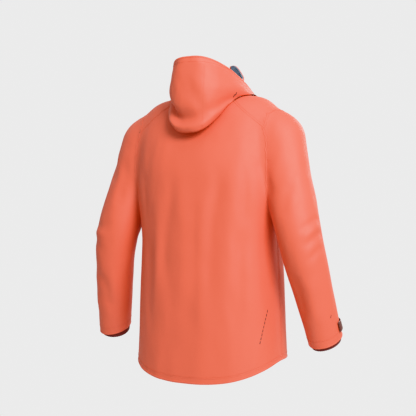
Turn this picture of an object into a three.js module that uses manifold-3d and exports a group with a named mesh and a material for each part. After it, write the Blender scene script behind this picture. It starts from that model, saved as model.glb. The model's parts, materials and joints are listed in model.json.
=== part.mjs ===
// A hooded foul weather jacket, worn upright and closed, with its hood lying on the upper back.
// Millimetres. +Z is up, the front faces -Y, the wearer's left is +X.
// The origin is the centre of the neck, at the height of the seam at the nape.
import * as THREE from "three";
import { mergeVertices } from "three/addons/utils/BufferGeometryUtils.js";
import Module from "manifold-3d";

const wasm = await Module();
wasm.setup();

// ---------------------------------------------------------------- driving dimensions

const SEAM = 0.6; // gap between two pieces that are sewn edge to edge
const WALL = 2.4; // shell fabric with its lining
const LINING = 1.5; // a facing or lining layer
const FAR = 3000; // reach of a cutting block, beyond the whole jacket

// Body of the jacket
const CHEST_HALF = 213; // half width at the foot of the armholes
const WAIST_HALF = 207; // half width where the arms press the sides in
const HEM_HALF = 221; // half width at the hem
const WAIST_Z = -400;
const BACK_DEPTH = 150; // from the side seams to the back
const FRONT_TOP = { y: -105, z: 97 }; // upper end of the centre front line
const FRONT_FOOT = { y: -150, z: -738 }; // lower end of the centre front line
const CHEST_Z = -200; // the shoulders are shaped above this height
const HEM_BACK_Z = -800; // lowest point of the drop tail
const SQUARENESS = 2.5; // superellipse exponent of a level section
const HEM_BAND = 40; // depth of the turned hem

// Neck and collar
const NECK_HALF = 90;
const NECK_BACK_Y = 72;
const NECK_SIDE_Z = 15;
const NECK_FRONT_Z = -65;
const COLLAR_TOP_HALF = 78;
const COLLAR_BACK = { y: 68, z: 84 };
const COLLAR_WALL = 1.8;

// Shoulder panels, between the slanted seams that run from the neck to the armholes
const YOKE_NECK_X = 85;
const YOKE_NECK_Z = 2;
const YOKE_SLOPE = 0.8;

// Arms: the shoulder, elbow and wrist of the wearer's left side
const SHOULDER = new THREE.Vector3(212, 10, -110);
const ELBOW = new THREE.Vector3(297, 56, -402);
const WRIST = new THREE.Vector3(343, -19, -676);
const HEAD_RADIUS = 77; // sleeve head
const ELBOW_RADIUS = 61;
const CUFF_RADIUS = 48;
const ARMHOLE_X = 213; // plane of the armhole in the body
const SLEEVE_X = 197; // the sleeve head reaches in to this plane
const SLEEVE_LAP = 40; // below the armpit the sleeve may reach this far inside the armhole's plane
const ARMPIT_Z = -262;
const ARM_ROOM = 2.5; // clearance between the body and a sleeve
const ELBOW_SWING = 60; // degrees that the forearm folds beyond its rest
const ELBOW_ROOM = 1.0;
const CUFF_SLANT = 11; // degrees that the cuff edge slopes, longer at the back
const CUFF_HEM = 30; // depth of the cuff's facing
const STORM_CUFF_OUT = 10; // how far the inner cuff stands out of the sleeve
const STORM_CUFF_IN = 58; // how far it reaches up inside
const CUFF_OVERRUN = 20; // the forearm's cone runs past the wrist by this before its edge is cut

// Hood, lying down
const HOOD_HINGE = { y: -45, z: 15 };
const HOOD_HALF = 104;
const HOOD_BACK_Y = 152;
const HOOD_REACH = { radius: 142, half: 100 }; // the hood stays outside this spheroid about its hinge line
const HOOD_FOOT_Z = -102;
const HOOD_BRIM = { front: 42, back: 117 };
const HOOD_SEAM_X = 45; // seams between the centre panel and the sides
const BRIM_WALL = 4.5;
const HOOD_ROOM = 4; // clearance between the hood and the shoulders
const HOOD_ENDS = { wall: 88, under: 64 }; // degrees from the back to the front ends of the wall and of its foot
const HOOD_REACH_IN = 32.4; // depth under the shoulders that is also kept clear
const HOOD_CENTRE_Y = 30; // the wall leans out from here

// Zips
const ZIP_SLOT = 8; // half width of the opening in the shell
const POST = 0.7; // half width of the slider's post
const RAIL = { inner: 1.1, outer: 3.6, top: 1.0, back: 5.6 };
const TAPE_HALF = 14;
const TAPE_WALL = 1.0;
const SLIDER = { half: 5.5, length: 17, wing: 1.9, room: 0.6 };
const BRIDGE = { half: 1.6, foot: -2.5, top: 7, height: 4.2, eye: [-0.6, 5.1], eyeHeight: 2.7 };
const PULLER = { half: 4.6, length: 34, wall: 1.6, bar: 0.8, armInner: 2.1, armLength: 11 };
const PULLER_TIP = { from: 12, past: 3, thick: 0.8, inset: 1.2 };
const TAPE_END = 4; // the tape stops short of the zip's opening by this
const ZIP_END = 22; // distance of a closed slider's centre from the upper end of its zip
const ZIP_FOOT = 52; // height of the lower slider's centre
const FLAP_HALF = 22; // storm flap behind the zip
const FLAP_ROOM = 1.6;

// Handwarmer pockets on the wearer's left; x and z of the ends of the zip
const POCKET_TOP = { x: 118, z: -468 };
const POCKET_FOOT = { x: 150, z: -632 };
const POCKET_BAG = { inner: 42, outer: 172, top: -446, foot: -662, room: 9, depth: 3 };

// Cord locks inside the hem
const LOCK = { radius: 7, length: 18, bore: 5, depth: 10, button: 4.5, proud: 6, room: 0.5, off: 3 };
const LOCK_ANGLE = -24; // degrees from the side seam towards the front
const LOCK_Z = -722;

// Hanging loop inside the collar
const LOOP = { half: 30, height: 30, foot: 20, strip: 1.8, width: 9, room: 1.5 };

// Cuff tab and its patch, angles round the cuff from its outer side towards the front
const TAB = { from: -12, to: 92, width: 28, wall: 1.8, back: 34 };
const PATCH = { from: 8, to: 108, width: 24, wall: 1.0 };
const LAYER_GAP = 0.5;

const AROUND = 32; // columns round the body
const YOKE_ROWS = 6;
const BODY_HEIGHTS = [-262, -330, -400, -520, -640];

// ---------------------------------------------------------------- solids from grids of points

const V = (x, y, z) => new THREE.Vector3(x, y, z);
const rad = THREE.MathUtils.degToRad;
const mix = (a, b, t) => a + (b - a) * t;
const signedPower = (v, p) => Math.sign(v) * Math.abs(v) ** p;
const range = (n) => Array.from({ length: n }, (_, i) => i);

// A closed mesh, given as corner points and triangles, as a solid.
function solidFrom(points, triangles) {
  const geometry = new THREE.BufferGeometry();
  geometry.setAttribute("position", new THREE.Float32BufferAttribute(points.flatMap((p) => p.toArray()), 3));
  geometry.setIndex(triangles);
  return solidOf(geometry);
}

function solidOf(geometry) {
  const bare = geometry.clone();
  bare.deleteAttribute("normal");
  bare.deleteAttribute("uv");
  const merged = mergeVertices(bare, 1e-4);
  return new wasm.Manifold(
    new wasm.Mesh({
      numProp: 3,
      vertProperties: new Float32Array(merged.attributes.position.array),
      triVerts: new Uint32Array(merged.index.array),
    }),
  );
}

function geometryOf(solid) {
  const mesh = solid.getMesh();
  const geometry = new THREE.BufferGeometry();
  geometry.setAttribute("position", new THREE.Float32BufferAttribute(mesh.vertProperties, 3));
  geometry.setIndex(new THREE.Uint32BufferAttribute(mesh.triVerts, 1));
  const flat = geometry.toNonIndexed();
  flat.computeVertexNormals();
  return flat;
}

// The same solid on the other side of the jacket.
function mirrored(solid) {
  const mesh = solid.getMesh();
  const at = mesh.vertProperties;
  const points = range(at.length / 3).map((i) => V(-at[3 * i], at[3 * i + 1], at[3 * i + 2]));
  const triangles = [];
  for (let i = 0; i < mesh.triVerts.length; i += 3) {
    triangles.push(mesh.triVerts[i], mesh.triVerts[i + 2], mesh.triVerts[i + 1]);
  }
  return solidFrom(points, triangles);
}

function biggest(solid) {
  return solid.decompose().sort((a, b) => b.volume() - a.volume())[0];
}

// Two faces made of the same grid of points, joined round their edges. Rows that wrap close on themselves.
function sheet(outer, inner, wraps) {
  const rows = outer.length;
  const cols = outer[0].length;
  const points = [...outer.flat(), ...inner.flat()];
  const at = (face, r, c) => face * rows * cols + r * cols + (c % cols);
  const triangles = [];
  const quad = (a, b, c, d) => triangles.push(a, b, c, a, c, d);
  const span = wraps ? cols : cols - 1;
  for (let r = 0; r < rows - 1; r++) {
    for (let c = 0; c < span; c++) {
      quad(at(0, r, c), at(0, r + 1, c), at(0, r + 1, c + 1), at(0, r, c + 1));
      quad(at(1, r, c), at(1, r, c + 1), at(1, r + 1, c + 1), at(1, r + 1, c));
    }
    if (!wraps) {
      quad(at(0, r, 0), at(1, r, 0), at(1, r + 1, 0), at(0, r + 1, 0));
      quad(at(0, r, span), at(0, r + 1, span), at(1, r + 1, span), at(1, r, span));
    }
  }
  for (let c = 0; c < span; c++) {
    quad(at(0, 0, c), at(0, 0, c + 1), at(1, 0, c + 1), at(1, 0, c));
    quad(at(0, rows - 1, c), at(1, rows - 1, c), at(1, rows - 1, c + 1), at(0, rows - 1, c + 1));
  }
  const solid = solidFrom(points, triangles);
  return solid.volume() > 0 ? solid : solidFrom(points, triangles.reverse());
}

// The grid moved along its own normals. A positive distance goes the way of (down a column) x (along a row).
function moved(grid, distance, wraps) {
  const rows = grid.length;
  const cols = grid[0].length;
  const pick = (r, c) => {
    const row = Math.min(Math.max(r, 0), rows - 1);
    const col = wraps ? (c + cols) % cols : Math.min(Math.max(c, 0), cols - 1);
    return grid[row][col];
  };
  return grid.map((line, r) =>
    line.map((point, c) => {
      const down = pick(r + 1, c).clone().sub(pick(r - 1, c));
      const along = pick(r, c + 1).clone().sub(pick(r, c - 1));
      return point.clone().addScaledVector(down.cross(along).normalize(), distance);
    }),
  );
}

const wallOf = (grid, near, far, wraps) => sheet(moved(grid, near, wraps), moved(grid, far, wraps), wraps);

function block(low, high, matrix) {
  const size = high.clone().sub(low);
  const geometry = new THREE.BoxGeometry(size.x, size.y, size.z);
  const centre = low.clone().add(high).multiplyScalar(0.5);
  geometry.translate(centre.x, centre.y, centre.z);
  if (matrix) geometry.applyMatrix4(matrix);
  return solidOf(geometry);
}

// Everything on the side of a plane that its normal points to.
function halfSpace(point, normal) {
  const turn = new THREE.Quaternion().setFromUnitVectors(V(0, 0, 1), normal.clone().normalize());
  const matrix = new THREE.Matrix4().compose(point, turn, V(1, 1, 1));
  return block(V(-FAR, -FAR, 0), V(FAR, FAR, FAR), matrix);
}

function cylinder(radius, from, to, sides = 24) {
  const axis = to.clone().sub(from);
  const geometry = new THREE.CylinderGeometry(radius, radius, axis.length(), sides);
  geometry.applyQuaternion(new THREE.Quaternion().setFromUnitVectors(V(0, 1, 0), axis.clone().normalize()));
  const centre = from.clone().add(to).multiplyScalar(0.5);
  geometry.translate(centre.x, centre.y, centre.z);
  return solidOf(geometry);
}

// A ball about a centre, stretched or squeezed along X by the given factor.
function ball(radius, centre, stretch = 1) {
  const geometry = new THREE.SphereGeometry(radius, 22, 14);
  geometry.rotateZ(Math.PI / 2);
  geometry.scale(stretch, 1, 1);
  geometry.translate(centre.x, centre.y, centre.z);
  return solidOf(geometry);
}

// ---------------------------------------------------------------- the body's surface

const frontY = (z) => mix(FRONT_FOOT.y, FRONT_TOP.y, (z - FRONT_FOOT.z) / (FRONT_TOP.z - FRONT_FOOT.z));
const FRONT_TILT = Math.atan2(FRONT_TOP.y - FRONT_FOOT.y, FRONT_TOP.z - FRONT_FOOT.z);
const FRONT_LENGTH = Math.hypot(FRONT_TOP.y - FRONT_FOOT.y, FRONT_TOP.z - FRONT_FOOT.z);

function halfWidth(z) {
  if (z > WAIST_Z) return mix(WAIST_HALF, CHEST_HALF, Math.min(1, (z - WAIST_Z) / (ARMPIT_Z - WAIST_Z)));
  return mix(WAIST_HALF, HEM_HALF, Math.min(1, (z - WAIST_Z) / (FRONT_FOOT.z - WAIST_Z)));
}

// Point of the body at an angle from the wearer's left side; 90 degrees is the centre back.
function bodyPoint(angle, z, dip = 0) {
  const c = Math.cos(angle);
  const s = Math.sin(angle);
  const depth = s > 0 ? BACK_DEPTH : -frontY(z);
  const power = 2 / SQUARENESS;
  return V(halfWidth(z) * signedPower(c, power), depth * signedPower(s, power), z - dip);
}

function neckPoint(angle) {
  const s = Math.sin(angle);
  const fall = s > 0 ? NECK_SIDE_Z : NECK_SIDE_Z - NECK_FRONT_Z;
  const front = frontY(NECK_FRONT_Z);
  const y = mix(front, NECK_BACK_Y, (1 + s) / 2);
  return V(NECK_HALF * Math.cos(angle), y, NECK_SIDE_Z - fall * s * s);
}

// How a line from the neck to the chest bends: share of the way out, and height, of its two control points.
const BEND = {
  side: { near: 0.55, nearZ: -13, far: 1.1, farZ: 240 },
  back: { near: 0.15, nearZ: -40, far: 0.72, farZ: 100 },
  front: { near: 1 / 3, nearZ: (CHEST_Z - NECK_FRONT_Z) / 3, far: 2 / 3, farZ: (NECK_FRONT_Z - CHEST_Z) / 3 },
};

function shoulderPoint(angle, t) {
  const neck = neckPoint(angle);
  const chest = bodyPoint(angle, CHEST_Z);
  const sideways = Math.cos(angle) ** 2;
  const middle = Math.sin(angle) > 0 ? BEND.back : BEND.front;
  const bend = (key) => mix(middle[key], BEND.side[key], sideways);
  const near = neck.clone().lerp(chest, bend("near")).setZ(neck.z + bend("nearZ"));
  const far = neck.clone().lerp(chest, bend("far")).setZ(chest.z + bend("farZ"));
  return new THREE.CubicBezierCurve3(neck, near, far, chest).getPoint(t);
}

const hemZ = (angle) => mix(FRONT_FOOT.z, HEM_BACK_Z, Math.max(0, Math.sin(angle)) ** 2);

// Below the chest the rows spread out so that the last one follows the hem.
function lowerPoint(angle, z) {
  const share = (CHEST_Z - z) / (CHEST_Z - FRONT_FOOT.z);
  return bodyPoint(angle, z, share ** 3 * (FRONT_FOOT.z - hemZ(angle)));
}

function bodyGrid() {
  const angles = range(AROUND).map((i) => (i / AROUND) * 2 * Math.PI);
  const yoke = range(YOKE_ROWS).map((r) => angles.map((a) => shoulderPoint(a, r / YOKE_ROWS)));
  const heights = [CHEST_Z, ...BODY_HEIGHTS, FRONT_FOOT.z + HEM_BAND, FRONT_FOOT.z];
  return [...yoke, ...heights.map((z) => angles.map((a) => lowerPoint(a, z)))];
}

// A layer that follows the body between two angles and two heights, at two depths inside its face.
function bodyLayer(angles, heights, near, far, cols = 8, rows = 3) {
  const grid = range(rows + 1).map((r) =>
    range(cols + 1).map((c) =>
      lowerPoint(rad(mix(angles[0], angles[1], c / cols)), mix(heights[0], heights[1], r / rows)),
    ),
  );
  return wallOf(grid, near, far, false);
}

// ---------------------------------------------------------------- sleeves

const UPPER_DIR = ELBOW.clone().sub(SHOULDER).normalize();
const FORE_DIR = WRIST.clone().sub(ELBOW).normalize();
const ELBOW_AXIS = UPPER_DIR.clone().cross(FORE_DIR).normalize();
const REST_BEND = UPPER_DIR.angleTo(FORE_DIR);

// Rings along a straight line, from one radius to another.
function tubeGrid(from, to, radii, outward, cols = 20, rows = 1) {
  const along = to.clone().sub(from).normalize();
  const side = outward.clone().addScaledVector(along, -outward.dot(along)).normalize();
  const across = along.clone().cross(side);
  return range(rows + 1).map((r) => {
    const t = r / rows;
    const centre = from.clone().lerp(to, t);
    const radius = mix(radii[0], radii[1], t);
    return range(cols).map((c) => {
      const angle = (c / cols) * 2 * Math.PI;
      return centre
        .clone()
        .addScaledVector(side, radius * Math.cos(angle))
        .addScaledVector(across, radius * Math.sin(angle));
    });
  });
}

const OUTWARD = V(1, 0, 0);

// A tube's wall between two depths inside its radius: the normals of its grid point inwards.
const tube = (from, to, radii, near, far) => wallOf(tubeGrid(from, to, radii, OUTWARD), near, far, true);

function filledTube(from, to, radii) {
  const axis = to.clone().sub(from);
  const geometry = new THREE.CylinderGeometry(radii[1], radii[0], axis.length(), 22);
  geometry.applyQuaternion(new THREE.Quaternion().setFromUnitVectors(V(0, 1, 0), axis.clone().normalize()));
  const centre = from.clone().add(to).multiplyScalar(0.5);
  geometry.translate(centre.x, centre.y, centre.z);
  return solidOf(geometry);
}

// The planes at the elbow: one across the rest bend, and one on the inner side that leaves room to fold.
function elbowPlanes(direction, sign) {
  const halfway = UPPER_DIR.clone().add(FORE_DIR).normalize();
  const foldTurn = (REST_BEND + rad(ELBOW_SWING)) / 2;
  const fold = direction.clone().applyAxisAngle(ELBOW_AXIS, sign * foldTurn);
  return [halfway.multiplyScalar(sign), fold.multiplyScalar(sign)].map((normal) =>
    halfSpace(ELBOW.clone().addScaledVector(normal, -ELBOW_ROOM / 2), normal),
  );
}

function upperSleeve() {
  const radii = [HEAD_RADIUS, ELBOW_RADIUS];
  const beyond = ELBOW.clone().addScaledVector(UPPER_DIR, ELBOW_RADIUS);
  const outer = ball(HEAD_RADIUS, SHOULDER).add(filledTube(SHOULDER, beyond, radii));
  const hollow = ball(HEAD_RADIUS - WALL, SHOULDER).add(
    filledTube(SHOULDER, beyond.clone().addScaledVector(UPPER_DIR, 1), radii.map((r) => r - WALL)),
  );
  const start = block(V(-FAR, -FAR, ARMPIT_Z), V(SLEEVE_X, FAR, FAR));
  const below = block(V(-FAR, -FAR, -FAR), V(ARMHOLE_X - SLEEVE_LAP, FAR, FAR));
  const [rest, fold] = elbowPlanes(UPPER_DIR, 1);
  return biggest(outer.subtract(hollow).subtract(start).subtract(below).subtract(rest).subtract(fold));
}

// The cuff's edge, sloped so that the back of the sleeve is longer.
function cuffEnd(shift = 0) {
  const normal = FORE_DIR.clone().applyAxisAngle(V(1, 0, 0), rad(-CUFF_SLANT));
  return halfSpace(WRIST.clone().addScaledVector(FORE_DIR, shift), normal);
}

function lowerSleeve() {
  const before = ELBOW.clone().addScaledVector(FORE_DIR, -ELBOW_RADIUS);
  const after = WRIST.clone().addScaledVector(FORE_DIR, CUFF_OVERRUN);
  const [rest, fold] = elbowPlanes(FORE_DIR, -1);
  const whole = tube(before, after, [ELBOW_RADIUS, CUFF_RADIUS], 0, WALL);
  return biggest(whole.subtract(cuffEnd()).subtract(rest).subtract(fold));
}

const FORE_LENGTH = WRIST.distanceTo(ELBOW) + ELBOW_RADIUS + CUFF_OVERRUN;
const foreRadius = (back) => mix(CUFF_RADIUS, ELBOW_RADIUS, (back + CUFF_OVERRUN) / FORE_LENGTH);

function cuffHem() {
  const from = WRIST.clone().addScaledVector(FORE_DIR, -CUFF_HEM);
  const after = WRIST.clone().addScaledVector(FORE_DIR, CUFF_OVERRUN);
  const near = WALL + LAYER_GAP;
  return tube(from, after, [foreRadius(CUFF_HEM), CUFF_RADIUS], near, near + LINING).subtract(cuffEnd(-1));
}

function stormCuff() {
  const from = WRIST.clone().addScaledVector(FORE_DIR, -STORM_CUFF_IN);
  const after = WRIST.clone().addScaledVector(FORE_DIR, 2 * CUFF_OVERRUN);
  const near = WALL + 2 * LAYER_GAP + LINING;
  const radii = [foreRadius(STORM_CUFF_IN), CUFF_RADIUS - 1];
  return tube(from, after, radii, near, near + WALL).subtract(cuffEnd(STORM_CUFF_OUT));
}

// A strip wrapped round the cuff, from one angle to another, towards the front.
function cuffStrip(from, to, width, near, far) {
  const rows = 2;
  const cols = 10;
  const side = OUTWARD.clone().addScaledVector(FORE_DIR, -OUTWARD.dot(FORE_DIR)).normalize();
  const grid = range(rows + 1).map((r) => {
    const back = TAB.back + width * (0.5 - r / rows);
    const centre = WRIST.clone().addScaledVector(FORE_DIR, -back);
    return range(cols + 1).map((c) => {
      const arm = side.clone().applyAxisAngle(FORE_DIR, rad(mix(from, to, c / cols)));
      return centre.clone().addScaledVector(arm, foreRadius(back));
    });
  });
  return wallOf(grid, -near, -far, false);
}

const PATCH_IN = 2 * LAYER_GAP;
const PATCH_OUT = PATCH_IN + PATCH.wall;
const TAB_OUT = PATCH_OUT + LAYER_GAP;
const cuffPatch = () => cuffStrip(PATCH.from, PATCH.to, PATCH.width, PATCH_IN, PATCH_OUT);
const cuffTab = () => cuffStrip(TAB.from, TAB.to, TAB.width, TAB_OUT, TAB_OUT + TAB.wall);

// ---------------------------------------------------------------- body panels

// The room that a sleeve needs in the wall of the body.
function sleeveRoom() {
  const beyond = ELBOW.clone().addScaledVector(UPPER_DIR, ELBOW_RADIUS);
  const radii = [HEAD_RADIUS + ARM_ROOM, ELBOW_RADIUS + ARM_ROOM];
  return block(V(ARMHOLE_X, -FAR, ARMPIT_Z), V(FAR, FAR, FAR))
    .add(ball(HEAD_RADIUS + ARM_ROOM, SHOULDER))
    .add(filledTube(SHOULDER, beyond, radii));
}

// The wedge over the wearer's left shoulder, above the slanted seam; shift moves the seam up.
function shoulderWedge(shift) {
  return halfSpace(V(YOKE_NECK_X, 0, YOKE_NECK_Z + shift), V(YOKE_SLOPE, 0, 1));
}

function bodyPanels() {
  const grid = bodyGrid();
  const room = sleeveRoom();
  const slot = block(V(-ZIP_SLOT, -FAR, -FAR), V(ZIP_SLOT, 0, FAR));
  const whole = wallOf(grid, 0, -WALL, true).subtract(room).subtract(mirrored(room)).subtract(slot);
  const wedges = [shoulderWedge(-SEAM), mirrored(shoulderWedge(-SEAM))];
  const lower = whole.subtract(wedges[0]).subtract(wedges[1]);
  const half = SEAM / 2;
  const back = block(V(-FAR, half, -FAR), V(FAR, FAR, FAR));
  const left = block(V(0, -FAR, -FAR), V(FAR, -half, FAR));
  const right = block(V(-FAR, -FAR, -FAR), V(0, -half, FAR));
  return {
    back_panel: biggest(lower.intersect(back)),
    front_panel_left: biggest(lower.intersect(left)).subtract(pocketSlot()),
    front_panel_right: biggest(lower.intersect(right)).subtract(mirrored(pocketSlot())),
    shoulder_panel_left: biggest(whole.intersect(shoulderWedge(0))),
    shoulder_panel_right: biggest(whole.intersect(mirrored(shoulderWedge(0)))),
  };
}

// ---------------------------------------------------------------- collar

function collarPoint(angle, t) {
  const s = Math.sin(angle);
  const top = V(
    COLLAR_TOP_HALF * Math.cos(angle),
    mix(FRONT_TOP.y, COLLAR_BACK.y, (1 + s) / 2),
    mix(FRONT_TOP.z, COLLAR_BACK.z, (1 + s) / 2),
  );
  return neckPoint(angle).lerp(top, t);
}

function collarWall(near, far, opening) {
  const angles = range(AROUND).map((i) => (i / AROUND) * 2 * Math.PI);
  const heights = [1, 0.66, 0.33, 0.04];
  const grid = heights.map((t) => angles.map((a) => collarPoint(a, t)));
  const slot = block(V(-opening, -FAR, -FAR), V(opening, 0, FAR));
  return wallOf(grid, -near, -far, true).subtract(slot);
}

function hangingLoop() {
  const { half, height, foot, strip, width, room } = LOOP;
  const arch = new THREE.Shape();
  arch.moveTo(-half, 0);
  arch.lineTo(-half, height - 8);
  arch.quadraticCurveTo(-half, height, -half + 8, height);
  arch.lineTo(half - 8, height);
  arch.quadraticCurveTo(half, height, half, height - 8);
  arch.lineTo(half, 0);
  arch.lineTo(half - strip, 0);
  arch.lineTo(half - strip, height - 8);
  arch.quadraticCurveTo(half - strip, height - strip, half - 8, height - strip);
  arch.lineTo(-half + 8, height - strip);
  arch.quadraticCurveTo(-half + strip, height - strip, -half + strip, height - 8);
  arch.lineTo(-half + strip, 0);
  const geometry = new THREE.ExtrudeGeometry(arch, { depth: width, bevelEnabled: false, curveSegments: 4 });
  geometry.rotateX(Math.PI / 2);
  const inside = collarPoint(Math.PI / 2 - 0.42, (foot + height) / COLLAR_BACK.z).y;
  const y = inside - COLLAR_WALL - LAYER_GAP - LINING - room;
  geometry.translate(0, y, foot);
  return solidOf(geometry);
}

// ---------------------------------------------------------------- hood

// The room about the hinge line that the collar needs while the hood swings, less a margin.
function hoodSwing(margin) {
  const radius = HOOD_REACH.radius - margin;
  return ball(radius, V(0, HOOD_HINGE.y, HOOD_HINGE.z), (HOOD_REACH.half - margin) / radius);
}

// Plan of the hood: turn runs from -90 at its right front end, over 0 at the back, to 90 at the left.
function hoodPoint(turn, out, height) {
  const a = rad(turn);
  const share = Math.cos(a) ** 0.9;
  const wall = V(
    HOOD_HALF * signedPower(Math.sin(a), 0.7),
    mix(HOOD_HINGE.y, HOOD_BACK_Y, share),
    0,
  );
  const radial = V(wall.x, wall.y - HOOD_CENTRE_Y, 0).normalize();
  const foot = mix(NECK_SIDE_Z, HOOD_FOOT_Z, share ** 2);
  const brim = mix(HOOD_BRIM.front, HOOD_BRIM.back, share);
  return wall.addScaledVector(radial, out).setZ(mix(foot, brim, height));
}

// Sections of the hood, from its foot up to the brim and from its foot in under the pouch: out, height.
const HOOD_WALL = [[-7, 0], [2, 0.08], [7, 0.3], [8, 0.55], [5, 0.8], [2, 0.93]];
const HOOD_UNDER = [[-61, 0.365], [-41, 0.2], [-21, 0.06], [-6, 0.005]];
const HOOD_EDGE = [[2, 0.937], [1, 0.97], [0, 1]];

function hoodSheet(section, limit, near, far) {
  const cols = 28;
  const grid = section.map(([out, height]) =>
    range(cols + 1).map((c) => hoodPoint(mix(-limit, limit, c / cols), out, height)),
  );
  return wallOf(grid, near, far, false);
}

function hoodPieces() {
  const grown = wallOf(bodyGrid(), HOOD_ROOM, -HOOD_REACH_IN, true);
  const clear = grown.add(hoodSwing(0));
  const whole = hoodSheet(HOOD_WALL, HOOD_ENDS.wall, 0, WALL)
    .add(hoodSheet(HOOD_UNDER, HOOD_ENDS.under, 0, -WALL))
    .subtract(clear);
  const cut = HOOD_SEAM_X + SEAM / 2;
  const centre = block(V(-cut + SEAM, -FAR, -FAR), V(cut - SEAM, FAR, FAR));
  const left = block(V(cut, -FAR, -FAR), V(FAR, FAR, FAR));
  return {
    hood_centre_panel: biggest(whole.intersect(centre)),
    hood_side_left: biggest(whole.intersect(left)),
    hood_side_right: biggest(whole.intersect(mirrored(left))),
    hood_brim: hoodSheet(HOOD_EDGE, HOOD_ENDS.wall, 0, BRIM_WALL),
  };
}

// The fixed strip of the hood along the neck seam, inside the hood's swing.
function hoodBase() {
  const turns = range(25).map((i) => rad(mix(-20, 200, i / 24)));
  const grid = [0, 0.05, 0.1, 0.16].map((t) => turns.map((a) => shoulderPoint(a, t)));
  const near = 3 * LAYER_GAP;
  return biggest(wallOf(grid, near, near + LINING, false).intersect(hoodSwing(2)));
}

// ---------------------------------------------------------------- zips

// Both zips lie along local Z with the outer face of the shell at local y = 0 and -y outwards.
const railBlock = (side, z0, z1) =>
  block(
    V(Math.min(side * RAIL.inner, side * RAIL.outer), RAIL.top, z0),
    V(Math.max(side * RAIL.inner, side * RAIL.outer), RAIL.back, z1),
  );

function zipTape(side, length, half) {
  const edge = side * (RAIL.inner + 0.2);
  const tape = block(
    V(Math.min(edge, side * half), RAIL.back - TAPE_WALL, 2),
    V(Math.max(edge, side * half), RAIL.back, length),
  );
  const stop = block(
    V(Math.min(side * RAIL.inner, side * (RAIL.outer + 1.6)), RAIL.top - 0.5, length - 6),
    V(Math.max(side * RAIL.inner, side * (RAIL.outer + 1.6)), RAIL.back, length - 2),
  );
  return tape.add(railBlock(side, 2, length - 2)).add(stop);
}

// Slider with its two wings, the post between them and the bridge for the puller, centred on z = 0.
function sliderSolid() {
  const front = RAIL.top - SLIDER.room;
  const behind = RAIL.back + SLIDER.room;
  const reach = SLIDER.length / 2;
  const { half, wing } = SLIDER;
  const wings = [
    block(V(-half, front - wing, -reach), V(half, front, reach)),
    block(V(-half, behind, -reach), V(half, behind + wing * 0.6, reach)),
    block(V(-POST, front - 0.1, -2), V(POST, behind + 0.1, reach - 1)),
  ];
  const face = front - wing;
  const { half: bridgeHalf, foot, top, height, eye, eyeHeight } = BRIDGE;
  const bridge = block(V(-bridgeHalf, face - height, foot), V(bridgeHalf, face + 0.1, top)).subtract(
    block(V(-half, face - eyeHeight, eye[0]), V(half, face, eye[1])),
  );
  return [...wings, bridge].reduce((all, piece) => all.add(piece));
}

const PULL_Y = RAIL.top - SLIDER.room - SLIDER.wing - 1.35;
const PULL_Z = 2.2;

// Puller, with its crossbar at the origin, hanging down.
function pullerSolid() {
  const t = PULLER.wall / 2;
  const { half, length, bar, armInner, armLength } = PULLER;
  const arm = block(V(armInner, -t, -armLength), V(half, t, t));
  const crossbar = block(V(-half, -bar, -bar), V(half, bar, bar));
  const plate = block(V(-half, -t, -length), V(half, t, 0.5 - armLength));
  const { from, past, thick, inset } = PULLER_TIP;
  const tip = block(V(inset - half, -t - thick, -length - past), V(half - inset, t - 0.1, from - length));
  return [crossbar, arm, mirrored(arm), plate, tip].reduce((all, solid) => all.add(solid));
}

const zipFrame = new THREE.Matrix4()
  .makeTranslation(0, FRONT_FOOT.y, FRONT_FOOT.z)
  .multiply(new THREE.Matrix4().makeRotationX(-FRONT_TILT));

// Frame of the left pocket's zip: origin at its lower end on the face of the body.
function pocketFrame() {
  const onBody = ({ x, z }) => V(x, -onFace(x, z), z);
  const foot = onBody(POCKET_FOOT);
  const top = onBody(POCKET_TOP);
  const up = top.clone().sub(foot).normalize();
  const middle = foot.clone().lerp(top, 0.5);
  const slope = (onFace(middle.x + 4, middle.z) - onFace(middle.x - 4, middle.z)) / 8;
  const inward = V(slope, 1, 0).normalize();
  inward.addScaledVector(up, -inward.dot(up)).normalize();
  const across = inward.clone().cross(up);
  const matrix = new THREE.Matrix4().makeBasis(across, inward, up);
  return { matrix: matrix.setPosition(foot), length: foot.distanceTo(top) };
}

// Depth of the front of the body, before its side seams, at a place across it and a height.
function onFace(x, z) {
  return -frontY(z) * (1 - (x / halfWidth(z)) ** SQUARENESS) ** (1 / SQUARENESS);
}

const pocket = pocketFrame();

function pocketSlot() {
  return block(V(-ZIP_SLOT, -20, 0), V(ZIP_SLOT, 5, pocket.length), pocket.matrix);
}

function pocketZip() {
  const { length } = pocket;
  const half = ZIP_SLOT - 0.8;
  const stop = (z) => block(V(-half, RAIL.top, z), V(half, RAIL.back, z + 2.5));
  const tapes = zipTape(1, length - TAPE_END, half).add(zipTape(-1, length - TAPE_END, half));
  return tapes.add(stop(2)).add(stop(length - 6));
}

// The empty bag lies flat behind the zip.
function pocketBag() {
  const { inner, outer, top, foot, room, depth } = POCKET_BAG;
  const angleOf = (x) => -THREE.MathUtils.radToDeg(Math.acos((x / WAIST_HALF) ** (SQUARENESS / 2)));
  return bodyLayer([angleOf(inner), angleOf(outer)], [top, foot], -room, -room - depth);
}

// ---------------------------------------------------------------- hem

function hemFacing() {
  const near = -WALL - LAYER_GAP;
  const opening = TAPE_HALF + 4;
  const slot = block(V(-opening, -FAR, -FAR), V(opening, 0, FAR));
  return wallOf(bodyGrid().slice(-2), near, near - LINING, true).subtract(slot);
}

// Cord lock with its sewn tab, standing inside the hem.
function lockPlace() {
  const at = lowerPoint(rad(LOCK_ANGLE), LOCK_Z);
  const inwards = V(-at.x, -at.y, 0).normalize();
  return at.addScaledVector(inwards, WALL + LINING + 2 * LAYER_GAP + LOCK.radius + LOCK.off);
}

const above = (at, rise) => at.clone().setZ(at.z + rise);

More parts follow.
